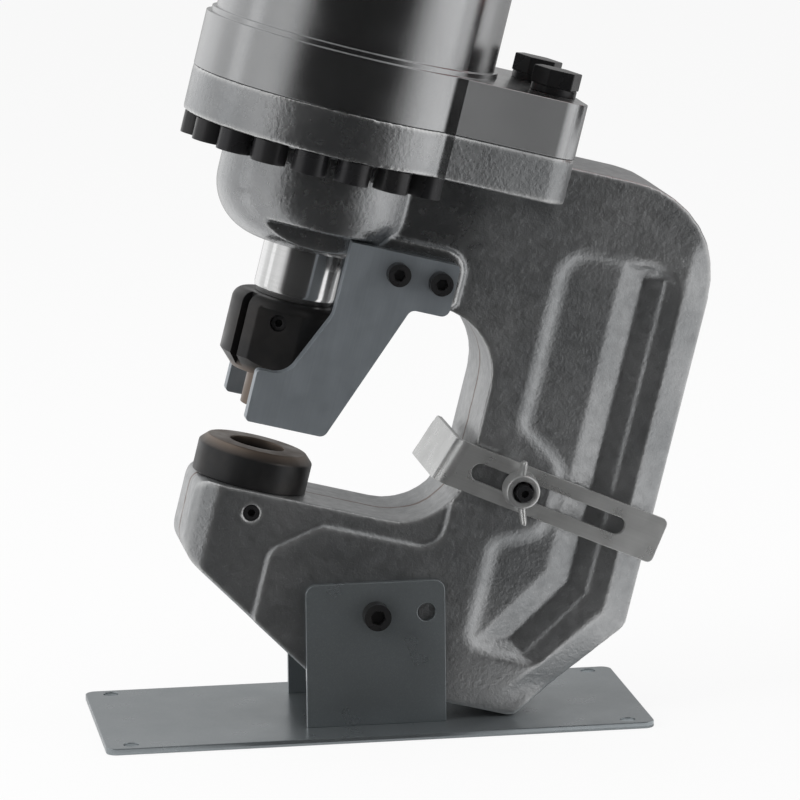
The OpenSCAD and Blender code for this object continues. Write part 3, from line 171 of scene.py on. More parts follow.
class Bench(Board):
    """Lays out the nodes of one material, on the piece's own coordinates."""

    def __init__(self, name: str) -> None:
        """Starts an empty material.

        Args:
            name: Name of the material.
        """
        self.material = bpy.data.materials.new(name)
        self.material.use_nodes = True
        super().__init__(self.material.node_tree)
        self.place = self.add("ShaderNodeTexCoord").outputs["Object"]

    def turned(self, scale: Point, degrees: float) -> Socket:
        """Returns the object coordinates, turned about Y and then stretched."""
        turn = self.turn(self.place, "Y", degrees)
        return self.add("ShaderNodeMapping", Scale=scale, Vector=turn).outputs["Vector"]

    def along_tool(self) -> bpy.types.NodeOutputs:
        """Returns the places along the tilted tool's axes as the outputs X, Y and Z."""
        return self.split(self.turned(WHOLE, -TOOL_TILT))

    def noise(self, scale: float, detail: float, rough: float = 0.5, at: Socket | None = None) -> Socket:
        """Adds a noise from 0 to 1, by its features per metre, octaves, roughness and place."""
        return self.add("ShaderNodeTexNoise", Scale=scale, Detail=detail, Roughness=rough,
                        Vector=at or self.place).outputs["Fac"]

    def waver(self, scale: float, detail: float, low: float, high: float) -> Socket:
        """Adds a noise that wavers between two values."""
        return self.spread(self.noise(scale, detail), 0.3, 0.7, low, high)

    def cells(self, scale: float) -> Socket:
        """Returns the distance to the middle of cells, by their number per metre."""
        return self.add("ShaderNodeTexVoronoi", Scale=scale, Vector=self.place).outputs["Distance"]

    def blend(self, share: Socket, one: Socket | Colour, two: Socket | Colour) -> Socket:
        """Mixes two colours by a pattern.

        Args:
            share: Share of the second colour.
            one: First colour, or an output.
            two: Second colour, or an output.

        Returns:
            The mixed colour.
        """
        node = self.add("ShaderNodeMix", data_type="RGBA", Factor=share)
        takers = [socket for socket in node.inputs if socket.type == "RGBA"]
        for socket, colour in zip(takers, (one, two)):
            self.feed(socket, colour)
        return [socket for socket in node.outputs if socket.type == "RGBA"][0]

    def relief(self, height: Socket, depth: float, before: Socket | None = None) -> Socket:
        """Adds a bump.

        Args:
            height: Pattern of the bump.
            depth: Depth of the bump in millimetres.
            before: Normal that the bump is laid on.

        Returns:
            The new normal.
        """
        node = self.add("ShaderNodeBump", Strength=1.0, Distance=depth * MM, Height=height)
        if before is not None:
            self.feed(node.inputs["Normal"], before)
        return node.outputs["Normal"]

    def tapered(self, above: float, slope: float, before: Socket) -> Socket:
        """Shades the flange's ears as cast with a taper towards their end.

        Args:
            above: Height along the tool from which it applies, in the materials' metres.
            slope: Slope of the taper.
            before: Normal that the taper is laid on.

        Returns:
            The new normal.
        """
        place = self.along_tool()
        far = self.spread(place["X"], *EARS, 1.0, 0.0)
        high = self.spread(place["Z"], above - MM, above, 0.0, 1.0)
        run = (EARS[1] - EARS[0]) / MM
        return self.relief(self.times(far, high), run * slope, before)

    def finish(self, **values: Any) -> Material:
        """Adds the shader and the output.

        Args:
            values: Inputs of the shader.

        Returns:
            The finished material.
        """
        shader = self.add("ShaderNodeBsdfPrincipled", **values)
        self.add("ShaderNodeOutputMaterial", Surface=shader.outputs["BSDF"])
        return self.material


@dataclass(frozen=True)
class CastPaint:
    """Metallic paint over a sand casting; spans are in the materials' metres."""

    name: str
    dark: Colour
    light: Colour
    # Colour of the flakes, and of the painted highlight laid on convex edges
    edge: Colour
    rough: float = 0.36
    metal: float = 0.84
    pits: float = 0.2
    waves: float = 0.07
    taper: float = 0.2
    taper_from: float = 0.206
    rust: Colour = (0.1, 0.04, 0.02)
    seam: Span = (0.0005, 0.0013)
    seam_wave: float = 0.0014
    seam_top: Span = (0.19, 0.2)
    seam_share: float = 0.85
    head_low: Span = (0.145, 0.16)
    head_right: Span = (-0.016, -0.004)
    head_sand: float = 0.65
    head_metal: float = 0.9

    def sand(self, b: Bench) -> Socket:
        """Marks where the sand left its grain: all over, less round the head's turned parts.

        Args:
            b: Bench of the material.

        Returns:
            The share of the grain.
        """
        place = b.along_tool()
        above = b.spread(place["Z"], *self.head_low, 0.0, 1.0)
        near = b.spread(place["X"], *self.head_right, 1.0, 0.0)
        return b.spread(b.times(above, near), 0.0, 1.0, 1.0, self.head_sand)

    def parting(self, b: Bench) -> Socket:
        """Marks the thin line where the mould's halves met, round the casting's middle.

        Args:
            b: Bench of the material.

        Returns:
            The line's strength.
        """
        wave = b.waver(60.0, 3.0, -self.seam_wave, self.seam_wave)
        place = b.split(b.place)
        moved = b.row("ShaderNodeMath", place["Y"], wave, operation="ADD")
        far = b.row("ShaderNodeMath", moved, operation="ABSOLUTE")
        line = b.spread(far, *self.seam, self.seam_share, 0.0)
        low = b.spread(place["Z"], *self.seam_top, 1.0, 0.0)
        return b.times(line, low)

    def tone(self, b: Bench) -> Socket:
        """Lays the clouds, the flakes, a painted highlight on convex edges, painted shade in creases and
        the parting line.

        Args:
            b: Bench of the material.

        Returns:
            The colour.
        """
        cloud = b.spread(b.noise(22.0, 3.0), 0.36, 0.66, 0.0, 1.0)
        tone = b.blend(cloud, self.dark, self.light)
        flake = b.spread(b.cells(1500.0), 0.0, 0.32, 1.0, 0.0)
        grain = b.spread(b.noise(900.0, 1.0), 0.52, 0.72, 0.0, 0.55)
        tone = b.blend(b.times(flake, grain), tone, self.edge)
        point = b.add("ShaderNodeNewGeometry").outputs["Pointiness"]
        # Painted highlight: convex edges are lightened towards the edge colour, standing in for the
        # light they catch
        tone = b.blend(b.spread(point, 0.505, 0.56, 0.0, 0.75), tone, self.edge)
        # Painted shade: creases and hollows are darkened, standing in for the shade that falls in them
        tone = b.blend(b.spread(point, 0.495, 0.45, 0.0, 0.55), tone, darker(self.dark, 0.45))
        return b.blend(self.parting(b), tone, self.rust)

    def material(self) -> Material:
        """Builds the material.

        Returns:
            The material.
        """
        b = Bench(self.name)
        tone = self.tone(b)
        sand = self.sand(b)
        peel = b.relief(b.noise(260.0, 2.0), self.waves)
        peel = b.relief(b.times(b.noise(700.0, 2.0, 0.6), sand), self.pits, peel)
        peel = b.tapered(self.taper_from, self.taper, peel)
        rough = b.waver(300.0, 2.0, self.rough - 0.07, self.rough + 0.09)
        metal = b.spread(sand, self.head_sand, 1.0, self.head_metal, self.metal)
        return b.finish(Base_Color=tone, Metallic=metal, Roughness=b.times(rough, sand), Normal=peel,
                        Coat_Weight=0.12, Coat_Roughness=0.3)


@dataclass(frozen=True)
class SheetPaint:
    """Even metallic paint with fine flakes, on sheet or turned metal."""

    name: str
    base: Colour
    flake: Colour
    rough: float
    metal: float
    coat: float
    pits: float = 0.012
    taper: float = 0.0

    def material(self) -> Material:
        """Builds the material.

        Returns:
            The material.
        """
        b = Bench(self.name)
        cloud = b.spread(b.noise(14.0, 2.0), 0.35, 0.65, 0.0, 0.35)
        tone = b.blend(cloud, self.base, darker(self.base, 0.82))
        fleck = b.spread(b.noise(2600.0, 1.0), 0.5, 0.75, 0.0, 0.3)
        tone = b.blend(fleck, tone, self.flake)
        rough = b.waver(60.0, 3.0, self.rough - 0.04, self.rough + 0.06)
        skin = b.relief(b.noise(900.0, 2.0), self.pits)
        if self.taper > 0.0:
            skin = b.tapered(0.0, self.taper, skin)
        return b.finish(Base_Color=tone, Metallic=self.metal, Roughness=rough, Normal=skin,
                        Coat_Weight=self.coat, Coat_Roughness=0.18)


@dataclass(frozen=True)
class WorkedMetal:
    """Bare or plated metal with the marks of its tool, and a cap of another tone on the die."""

    name: str
    base: Colour
    worn: Colour
    rough: float = 0.3
    lie: Lie = Lie.NONE
    marks: float = 0.004
    wear: float = 0.35
    metal: float = 1.0
    cap: Colour | None = None
    cap_foot: Span = (0.0885, 0.0915)
    cap_end: Span = (0.119, 0.122)

    def material(self) -> Material:
        """Builds the material.

        Returns:
            The material.
        """
        b = Bench(self.name)
        lines = b.noise(1.0, 3.0, 0.55, b.turned(*self.lie.value))
        stain = b.spread(b.noise(45.0, 4.0, 0.6), 0.42, 0.72, 0.0, self.wear)
        tone = b.blend(stain, self.base, self.worn)
        tone = b.blend(b.spread(lines, 0.3, 0.7, 0.0, 0.25), tone, darker(self.base, 0.7))
        if self.cap is not None:
            height = b.along_tool()["Z"]
            above = b.spread(height, *self.cap_foot, 0.0, 1.0)
            below = b.spread(height, *self.cap_end, 1.0, 0.0)
            tone = b.blend(b.times(above, below), tone, self.cap)
        rough = b.waver(120.0, 3.0, self.rough * 0.8, self.rough * 1.3)
        skin = b.relief(lines, self.marks)
        return b.finish(Base_Color=tone, Metallic=self.metal, Roughness=rough, Normal=skin)


@dataclass(frozen=True)
class Moulded:
    """Grained plastic or rubber."""

    name: str
    base: Colour
    rough: float
    grain: float = 0.02

    def material(self) -> Material:
        """Builds the material.

        Returns:
            The material.
        """
        b = Bench(self.name)
        cloud = b.waver(30.0, 2.0, 0.0, 0.3)
        tone = b.blend(cloud, self.base, darker(self.base, 0.8))
        rough = b.waver(80.0, 2.0, self.rough - 0.05, self.rough + 0.07)
        skin = b.relief(b.noise(1400.0, 2.0), self.grain)
        return b.finish(Base_Color=tone, Roughness=rough, Normal=skin)


class Shop:
    """Bpy operators in the order in which a piece is worked; sizes are in millimetres."""

    @staticmethod
    def alone(piece: Piece) -> None:
        """Selects one object and makes it active.

        Args:
            piece: The object.
        """
        bpy.ops.object.select_all(action="DESELECT")
        piece.select_set(True)
        bpy.context.view_layer.objects.active = piece

    @staticmethod
    def copy_node(source: Piece, name: str) -> Piece:
        """Copies a CAD node's mesh and merges its loose triangles.

        Args:
            source: The CAD node.
            name: Name of the copy.

        Returns:
            The copy, with its own merged mesh.
        """
        mesh = source.data.copy()
        mesh.materials.clear()
        piece = bpy.data.objects.new(name, mesh)
        bpy.context.scene.collection.objects.link(piece)
        Shop.alone(piece)
        if mesh.has_custom_normals:
            bpy.ops.mesh.customdata_custom_splitnormals_clear()
        Shop.edit(piece)
        bpy.ops.mesh.select_all(action="SELECT")
        bpy.ops.mesh.remove_doubles(threshold=WELD)
        bpy.ops.object.mode_set(mode="OBJECT")
        return piece

    @staticmethod
    def block(low: Sequence[float], high: Sequence[float]) -> Piece:
        """Adds a box primitive.

        Args:
            low: Its low corner.
            high: Its high corner.

        Returns:
            The box.
        """
        bpy.ops.object.select_all(action="DESELECT")
        middle = [(a + b) / 2 * MM for a, b in zip(low, high)]
        bpy.ops.mesh.primitive_cube_add(size=1.0, location=middle)
        piece = bpy.context.active_object
        piece.scale = [(b - a) * MM for a, b in zip(low, high)]
        bpy.ops.object.transform_apply()
        return piece

    @staticmethod
    def rod(radius: float, front: float, back: float, x: float = 0.0) -> Piece:
        """Adds a cylinder primitive along Y, at height zero.

        Args:
            radius: Its radius.
            front: Y of its front end.
            back: Y of its back end.
            x: X of its axis.

        Returns:
            The cylinder.
        """
        bpy.ops.object.select_all(action="DESELECT")
        bpy.ops.mesh.primitive_cylinder_add(
            vertices=48, radius=radius * MM, depth=(back - front) * MM,
            location=(x * MM, (front + back) / 2 * MM, 0.0), rotation=(math.pi / 2, 0.0, 0.0))
        bpy.ops.object.transform_apply()
        return bpy.context.active_object

    @staticmethod
    def edit(piece: Piece) -> None:
        """Opens edit mode on one piece."""
        Shop.alone(piece)
        bpy.ops.object.mode_set(mode="EDIT")

    @staticmethod
    def pick(piece: Piece, kind: str, test: Callable[[Any], bool]) -> None:
        """Selects only the parts of a mesh that pass a test, in edit mode.

        Args:
            piece: Object in edit mode.
            kind: verts, edges or faces.
            test: Returns True for what is to be selected.
        """
        bpy.ops.mesh.select_all(action="DESELECT")
        bpy.ops.mesh.select_mode(type={"verts": "VERT", "edges": "EDGE", "faces": "FACE"}[kind])
        mesh = bmesh.from_edit_mesh(piece.data)
        for part in filter(test, getattr(mesh, kind)):
            part.select_set(True)
        mesh.select_flush_mode()
        bmesh.update_edit_mesh(piece.data)

    @staticmethod
    def level(edge: bmesh.types.BMEdge) -> bool:
        """Tells whether both ends of an edge lie at one height."""
        return abs(edge.verts[0].co.z - edge.verts[1].co.z) < TINY

    @staticmethod
    def apply(piece: Piece) -> None:
        """Applies every modifier of a piece in order.

        Args:
            piece: The piece.
        """
        Shop.alone(piece)
        for name in [m.name for m in piece.modifiers]:
            bpy.ops.object.modifier_apply(modifier=name)

    @staticmethod
    def cut(piece: Piece, tool: Piece) -> None:
        """Cuts a tool out of a piece and removes the tool.

        Args:
            piece: The piece.
            tool: The tool.
        """
        hole = piece.modifiers.new("cut", "BOOLEAN")
        hole.operation = "DIFFERENCE"
        hole.solver = "EXACT"
        hole.object = tool
        Shop.apply(piece)
        bpy.data.objects.remove(tool)

    @staticmethod
    def bevel(piece: Piece, width: float, steps: int, degrees: float = 35.0) -> bpy.types.Modifier:
        """Adds a bevel of the sharp edges.

        Args:
            piece: The piece.
            width: Width of the bevel.
            steps: Segments of the bevel.
            degrees: Angle past which an edge is sharp.

        Returns:
            The modifier.
        """
        edge = piece.modifiers.new("edge", "BEVEL")
        edge.limit_method = "ANGLE"
        edge.angle_limit = math.radians(degrees)
        edge.width = width * MM
        edge.segments = steps
        return edge

    @staticmethod
    def even_out(piece: Piece) -> None:
        """Adds normals weighted by the faces' size, which keep the sharp edges."""
        piece.modifiers.new("level", "WEIGHTED_NORMAL").keep_sharp = True

    @staticmethod
    def smooth(piece: Piece, degrees: float) -> None:
        """Shades a piece smooth, with sharp edges past an angle."""
        Shop.alone(piece)
        bpy.ops.object.shade_smooth_by_angle(angle=math.radians(degrees))

    @staticmethod
    def join(into: Piece, others: Sequence[Piece]) -> None:
        """Joins pieces into one.

        Args:
            into: The piece that stays.
            others: The pieces that become part of it.
        """
        Shop.alone(into)
        for piece in others:
            piece.select_set(True)
        bpy.ops.object.join()

    @staticmethod
    def done(piece: Piece, name: str, matrix: Matrix) -> Piece:
        """Lays the finished mesh in its place.

        Args:
            piece: The modelled piece.
            name: Its final name.
            matrix: Place of the piece's own frame.

        Returns:
            The piece, its object at the origin.
        """
        Shop.alone(piece)
        piece.matrix_world = matrix
        bpy.ops.object.transform_apply()
        piece.name = piece.data.name = name
        return piece


@dataclass
class ToolFrame:
    """Frame of the tilted tool: its origin is the middle of the die's top."""

    x: float = -39.4305
    z: float = 105.145
    stud_u: float = 94.5
    stud_w: float = 8.4

    @staticmethod
    def place(x: float, z: float, degrees: float) -> Matrix:
        """Returns a place in the middle plane, turned about Y."""
        return Matrix.Translation((x * MM, 0.0, z * MM)) @ Matrix.Rotation(math.radians(degrees), 4, "Y")

    def matrix(self) -> Matrix:
        """Returns the place of the tool's own frame, in metres."""
        return self.place(self.x, self.z, TOOL_TILT)

    def gauge(self) -> Matrix:
        """Returns the place of the gauge's own frame, whose zero is on the stud."""
        return self.matrix() @ self.place(self.stud_u, self.stud_w, GAUGE_SLOPE)


@dataclass
class Casting:
    """Cast frame and flange with softened edges, made from the CAD's own solids.

    Places are u to the right and w up in the tool's frame. The column's outer band and the
    nose lean back, and the column's pocket has an uneven floor.
    """

    frame: ToolFrame
    nodes: tuple[str, ...] = ("c_frame", "head_flange")
    voxel: float = 0.85
    passes: int = 5
    faces: int = 190000
    half: float = 25.0
    ease: Span = (3.0, 22.0)
    column: float = 148.0
    band: float = 10.4
    band_top: Span = (104.0, 116.0)
    band_foot: Span = (-76.0, -60.0)
    heel: Span = (148.0, -35.4)
    heel_slope: float = 50.5
    draft: float = 20.5
    pocket_right: float = 137.3
    pocket_width: float = 52.0
    pocket_span: Span = (-60.0, 104.0)
    pocket_heel: Span = (137.3, -28.0)
    pocket_slope: float = 57.0
    pocket_depth: float = 6.5
    shallow: float = 2.2
    deep: float = 5.8
    valley: float = 14.6
    stripe: float = 9.6
    step: float = 0.7
    step_at: Span = (6.6, 7.6)
    cove: float = 0.7
    nose: float = -21.4
    nose_band: float = 7.8
    nose_top: float = 6.0
    nose_draft: float = 34.0
    head_radius: float = 25.0
    head_foot: float = 60.0
    head_soft: float = 0.15
    rim_left: float = 60.0
    rim_top: float = 120.0
    wall_slack: float = 0.5
    floor_slack: float = 0.6
    face_slack: float = 0.2
    least_share: float = 0.02
    keep: tuple[Point, ...] = ((0.0, -22.2, 3.2), (29.9, 77.0, 5.5), (45.9, 77.0, 5.5), (94.5, 8.4, 5.0))

    def build(self, nodes: dict[str, Piece]) -> Piece:
        """Joins, remeshes, softens and thins copies of the casting's nodes.

        Args:
            nodes: CAD nodes by name.

        Returns:
            The softened casting.
        """
        piece, *others = [Shop.copy_node(nodes[name], f"{name}_copy") for name in self.nodes]
        Shop.join(piece, others)
        piece.data.transform(self.frame.matrix().inverted())
        skin = piece.modifiers.new("skin", "REMESH")
        skin.mode = "VOXEL"
        skin.voxel_size = self.voxel * MM
        Shop.apply(piece)
        self.lean(piece)
        self.weigh(piece)
        soft = piece.modifiers.new("soft", "SMOOTH")
        soft.factor = 0.5
        soft.iterations = self.passes
        soft.vertex_group = "cast"
        Shop.apply(piece)
        thin = piece.modifiers.new("thin", "DECIMATE")
        thin.ratio = min(1.0, self.faces / (2.0 * len(piece.data.polygons)))
        Shop.apply(piece)
        piece.vertex_groups.clear()
        piece.data.transform(self.frame.matrix())
        piece.name = piece.data.name = "cast_body"
        bpy.ops.object.shade_smooth()
        return piece

    @staticmethod
    def places(piece: Piece) -> np.ndarray:
        """Reads the piece's points.

        Args:
            piece: The piece.

        Returns:
            The points, in millimetres.
        """
        points = np.zeros(len(piece.data.vertices) * 3)
        piece.data.vertices.foreach_get("co", points)
        return points.reshape(-1, 3) / MM

    @staticmethod
    def ramp(values: np.ndarray, low: float, high: float) -> np.ndarray:
        """Eases from 0 at low to 1 at high."""
        share = np.clip((values - low) / (high - low), 0.0, 1.0)
        return share * share * (3.0 - 2.0 * share)

    @staticmethod
    def inside(at: np.ndarray, corner: Span, slope: float) -> np.ndarray:
        """Measures how far points lie inside a line that falls to the left of a corner.

        Args:
            at: The points.
            corner: Place of the corner along u and w.
            slope: Slope of the line, in degrees.

        Returns:
            The distances, in millimetres.
        """
        turn = math.radians(slope)
        return (corner[0] - at[:, 0]) * math.sin(turn) + (at[:, 2] - corner[1]) * math.cos(turn)

    def weigh(self, piece: Piece) -> None:
        """Weighs how far each point softens; bores and machined faces keep their form.

        Args:
            piece: The casting.
        """
        at = self.places(piece)
        weight = np.ones(len(at))
        for u, w, radius in self.keep:
            away = np.hypot(at[:, 0] - u, at[:, 2] - w)
            weight = np.minimum(weight, np.clip((away - radius) / 2.0, 0.0, 1.0))
        axis = np.hypot(at[:, 0], at[:, 1])
        head = (axis < self.head_radius) & (at[:, 2] > self.head_foot)
        levels = np.round(np.where(head, self.head_soft, weight), 1)
        group = piece.vertex_groups.new(name="cast")
        for level in np.unique(levels):
            group.add(np.nonzero(levels == level)[0].tolist(), float(level), "REPLACE")

    def rim_distance(self, at: np.ndarray, pocket: np.ndarray, face: np.ndarray) -> np.ndarray:
        """Measures how far the pocket's points lie from its rim, along the face.

        Args:
            at: Every point of the casting.
            pocket: Which of them lie in the pocket.
            face: Which of them lie on the faces round it.

        Returns:
            The distances in millimetres, 0 outside the pocket.
        """
        apart = 100.0
        flat = np.column_stack((at[:, 0], np.copysign(apart, at[:, 1]), at[:, 2]))
        tree = KDTree(int(face.sum()))
        for index, point in enumerate(flat[face]):
            tree.insert(point, index)
        tree.balance()
        away = np.zeros(len(at))
        for index in np.nonzero(pocket)[0]:
            away[index] = tree.find(flat[index])[2]
        return away

    def drop(self, at: np.ndarray) -> np.ndarray:
        """Works out how far the column's outer band and the nose's edge lean back.

        Args:
            at: Every point of the casting.

        Returns:
            The shifts towards the middle plane, in millimetres.
        """
        u, w = at[:, 0], at[:, 2]
        eased = self.ramp(np.abs(at[:, 1]), *self.ease)
        edge = np.minimum(self.column - u, self.inside(at, self.heel, self.heel_slope))
        past = np.clip(self.band - edge, 0.0, self.band)
        span = (1.0 - self.ramp(w, *self.band_top)) * self.ramp(w, *self.band_foot)
        tip = np.clip(self.nose + self.nose_band - u, 0.0, self.nose_band) * (w < self.nose_top)
        band = past * span * math.tan(math.radians(self.draft))
        return (band + tip * math.tan(math.radians(self.nose_draft))) * eased

    def lean(self, piece: Piece) -> None:
        """Leans the outer edges back and gives the pocket its uneven floor.

        Args:
            piece: The casting.
        """
        at = self.places(piece)
        u, w = at[:, 0], at[:, 2]
        side = np.abs(at[:, 1])
        wall = np.minimum(self.pocket_right - u, self.inside(at, self.pocket_heel, self.pocket_slope))
        share = np.clip((self.half - side) / self.pocket_depth, 0.0, 1.0)
        right = 1.0 - np.clip((wall - self.valley) / self.stripe, 0.0, 1.0)
        floor = self.shallow + (self.deep - self.shallow) * right
        rise = np.clip(wall, 0.0, None) * (self.deep - self.step) / self.valley
        rise += self.step * self.ramp(wall, *self.step_at)
        low, high = self.pocket_span
        pocket = (wall > -self.wall_slack) & (wall < self.pocket_width) & (w > low) & (w < high)
        pocket &= (share > self.least_share) & (side > self.half - self.pocket_depth - self.floor_slack)
        face = (side > self.half - self.face_slack) & ~pocket & (u > self.rim_left) & (w < self.rim_top)
        cove = self.cove * self.rim_distance(at, pocket, face)
        depth = np.minimum(np.minimum(share * floor, rise), cove)
        shift = np.where(pocket, side - (self.half - depth), self.drop(at))
        at[:, 1] -= np.sign(at[:, 1]) * shift
        piece.data.vertices.foreach_set("co", (at * MM).ravel())
        piece.data.update()


@dataclass
class GaugeStop:
    """Back gauge: a slotted strip with its end turned in behind the frame."""

    frame: ToolFrame
    width: float = 17.5
    thick: float = 2.0
    left: float = -29.8
    length: float = 87.5
    tab: float = 50.0
    skew: float = 2.9
    bend: float = 3.4
    back: float = -25.2
    slot_w: float = 6.6
    slot_from: float = -15.9
    slot_l: float = 55.5
    corner: float = 2.2
    tab_corners: Span = (1.5, 0.4)
    edge: float = 0.35

    def build(self) -> Piece:
        """Models the strip, turns its end and cuts its slot.

        Returns:
            The strip, in its place.
        """
        half = self.width / 2
        front = self.back - self.thick
        start = self.left + self.thick + self.bend
        end = self.left + self.length
        strip = Shop.block((start, front, -half), (end, self.back, half))
        Shop.edit(strip)
        right = end * MM - TINY
        Shop.pick(strip, "edges", lambda e: Shop.level(e) and all(v.co.x > right for v in e.verts))
        bpy.ops.mesh.bevel(offset=self.corner * MM, segments=4, affect="EDGES")
        Shop.pick(strip, "faces", lambda f: f.normal.x < -0.9)
        centre = (start * MM, (self.back + self.bend) * MM, 0.0)
        bpy.ops.mesh.spin(steps=8, angle=math.pi / 2, center=centre, axis=(0.0, 0.0, 1.0))
        reach = (front + self.tab - self.back - self.bend) * MM
        bpy.ops.mesh.extrude_region_move(TRANSFORM_OT_translate={"value": (0.0, reach, 0.0)})
        self.round_tab(strip, (front + self.tab) * MM - TINY)
        self.skew_tab(strip, start)
        bpy.ops.object.mode_set(mode="OBJECT")
        Shop.cut(strip, self.slot())
        Shop.bevel(strip, self.edge, 2)
        Shop.apply(strip)
        Shop.smooth(strip, 40.0)
        Shop.even_out(strip)
        Shop.apply(strip)
        return Shop.done(strip, "gauge_strip", self.frame.gauge())

    def round_tab(self, strip: Piece, far: float) -> None:
        """Rounds the tab's far corners, more above than below.

        Args:
            strip: The strip, in edit mode.
            far: Y past which the corners lie, in metres.
        """
        for side, share in zip((1.0, -1.0), self.tab_corners):
            Shop.pick(strip, "edges", lambda e, s=side: Shop.level(e) and all(
                v.co.y > far and v.co.z * s > 0.0 for v in e.verts))
            bpy.ops.mesh.bevel(offset=self.corner * share * MM, segments=5, affect="EDGES")

    def skew_tab(self, strip: Piece, start: float) -> None:
        """Slants the tab: its upper edge goes right and its lower edge left.

        Args:
            strip: The strip, in edit mode.
            start: X of the bend's start, in millimetres.
        """
        near = 0.1
        for side in (-1.0, 1.0):
            Shop.pick(strip, "verts", lambda v, s=side: (
                v.co.z * s > near * MM and v.co.x < (start + near) * MM))
            bpy.ops.transform.translate(value=(side * self.skew / 2 * MM, 0.0, 0.0))

    def slot(self) -> Piece:
        """Stretches a rod into the slot's form.

        Returns:
            The cutter.
        """
        front = self.back - self.thick - THROUGH
        tool = Shop.rod(self.slot_w / 2, front, self.back + THROUGH, self.slot_from)
        Shop.edit(tool)
        Shop.pick(tool, "verts", lambda v: v.co.x > self.slot_from * MM + TINY)
        bpy.ops.transform.translate(value=(self.slot_l * MM, 0.0, 0.0))
        bpy.ops.object.mode_set(mode="OBJECT")
        return tool


@dataclass
class WingNut:
    """Pressed wing nut on the gauge's stud."""

    frame: ToolFrame
    seat: float = -28.4
    foot: float = 14.0
    top: float = 12.5
    height: float = 7.5
    bore: float = 7.8
    edge: float = 0.7
    wall: float = 1.2
    root: float = 1.4
    wing: float = 3.0
    reach: float = 12.5
    rise: float = 12.0
    front_gap: float = 0.4
    back_gap: float = 0.6
    steps: tuple[Span, ...] = ((-0.22, 0.92), (-0.2, 0.9))
    thinning: float = 0.94
    turn: float = -22.0

    def build(self) -> Piece:
        """Models the hub, its chamfered bore and both wings.

        Returns:
            The wing nut, in its place.
        """
        front = self.seat - self.height
        hub = Shop.rod(self.foot / 2, front, self.seat)
        Shop.edit(hub)
        Shop.pick(hub, "faces", lambda f: f.normal.y < -0.9)
        bpy.ops.transform.resize(value=(self.top / self.foot, 1.0, self.top / self.foot))
        bpy.ops.object.mode_set(mode="OBJECT")
        Shop.cut(hub, Shop.rod(self.bore / 2, front - THROUGH, self.seat + THROUGH))
        Shop.bevel(hub, self.edge, 3)
        Shop.apply(hub)
        Shop.join(hub, [self.ear(side) for side in (1.0, -1.0)])
        Shop.smooth(hub, 50.0)
        turn = Matrix.Rotation(math.radians(self.turn), 4, "Y")
        return Shop.done(hub, "butterfly_nut", self.frame.gauge() @ turn)

    def ear(self, side: float) -> Piece:
        """Models one wing: a root that grows up and out to a rounded tip.

        Args:
            side: 1 for the wing above the bore, -1 for the one below.

        Returns:
            The wing, in the nut's frame.
        """
        half = self.wing / 2
        start = (self.bore / 2 + self.wall) * side
        low, high = sorted((start, start + self.root * side))
        front, back = self.seat - self.height + self.front_gap, self.seat - self.back_gap
        wing = Shop.block((-half, front, low), (half, back, high))
        Shop.edit(wing)
        Shop.pick(wing, "faces", lambda f: f.normal.z * side > 0.9)
        out = (self.reach - abs(start) - self.root) / 2 * side
        for lift, narrowing in self.steps:
            step = (0.0, lift * self.rise * MM, out * MM)
            bpy.ops.mesh.extrude_region_move(TRANSFORM_OT_translate={"value": step})
            bpy.ops.transform.resize(value=(narrowing, self.thinning, 1.0))
        bpy.ops.object.mode_set(mode="OBJECT")
        round_off = wing.modifiers.new("round", "SUBSURF")
        round_off.levels = round_off.render_levels = 3
        Shop.apply(wing)
        return wing


@dataclass(frozen=True)
class Edge:
    """Bevel and shading of a CAD node that stays, in millimetres, segments and degrees."""

    width: float = 0.35
    steps: int = 2
    sharp: float = 32.0


@dataclass
class Dresser:
    """Gives every CAD node that stays its finish and its broken edges."""

    nodes: dict[str, Piece]
    slots: dict[str, str]
    finishes: dict[str, Material]
    shades: dict[float, bpy.types.NodeTree] = field(default_factory=dict)

    @staticmethod
    def shade(sharp: float) -> bpy.types.NodeTree:
        """Makes the node group that shades smooth up to an angle.

        Args:
            sharp: Angle in degrees past which an edge stays sharp.

        Returns:
            The geometry nodes.
        """
        b = Board(bpy.data.node_groups.new(f"smooth_to_{sharp:g}", "GeometryNodeTree"))
        for way in ("INPUT", "OUTPUT"):
            b.tree.interface.new_socket("Geometry", in_out=way, socket_type="NodeSocketGeometry")
        start = b.add("NodeGroupInput").outputs[0]
        plain = b.add("GeometryNodeRemoveAttribute", Geometry=start, Name="custom_normal").outputs[0]
        angle = b.add("GeometryNodeInputMeshEdgeAngle").outputs["Unsigned Angle"]
        low = b.row("FunctionNodeCompare", angle, math.radians(sharp), data_type="FLOAT",
                    operation="LESS_EQUAL")
        kind = "GeometryNodeSetShadeSmooth"
        edges = b.add(kind, domain="EDGE", Geometry=plain, Shade_Smooth=low).outputs[0]
        faces = b.add(kind, domain="FACE", Geometry=edges, Shade_Smooth=True).outputs[0]
        b.add("NodeGroupOutput", Geometry=faces)
        return b.tree

    def dress(self, name: str, edge: Edge) -> None:
        """Adds a node's modifiers and its material.

        Args:
            name: The CAD node.
            edge: Its bevel and shading.
        """
        piece = self.nodes[name]
        piece.modifiers.new("weld", "WELD").merge_threshold = WELD
        flat = piece.modifiers.new("flat", "DECIMATE")
        flat.decimate_type = "DISSOLVE"
        flat.angle_limit = math.radians(FLAT)
        if edge.width > 0.0:
            Shop.bevel(piece, edge.width, edge.steps, edge.sharp).miter_outer = "MITER_ARC"
        if edge.sharp not in self.shades:
            self.shades[edge.sharp] = self.shade(edge.sharp)
        piece.modifiers.new("shade", "NODES").node_group = self.shades[edge.sharp]
        Shop.even_out(piece)
        self.paint(piece, self.slots[name])

    def paint(self, piece: Piece, slot: str) -> None:
        """Lays a slot's finish on every face of a piece.

        Args:
            piece: The piece.
            slot: The material slot.
        """
        if piece.material_slots:
            for place in piece.material_slots:
                place.material = self.finishes[slot]
        else:
            piece.data.materials.append(self.finishes[slot])


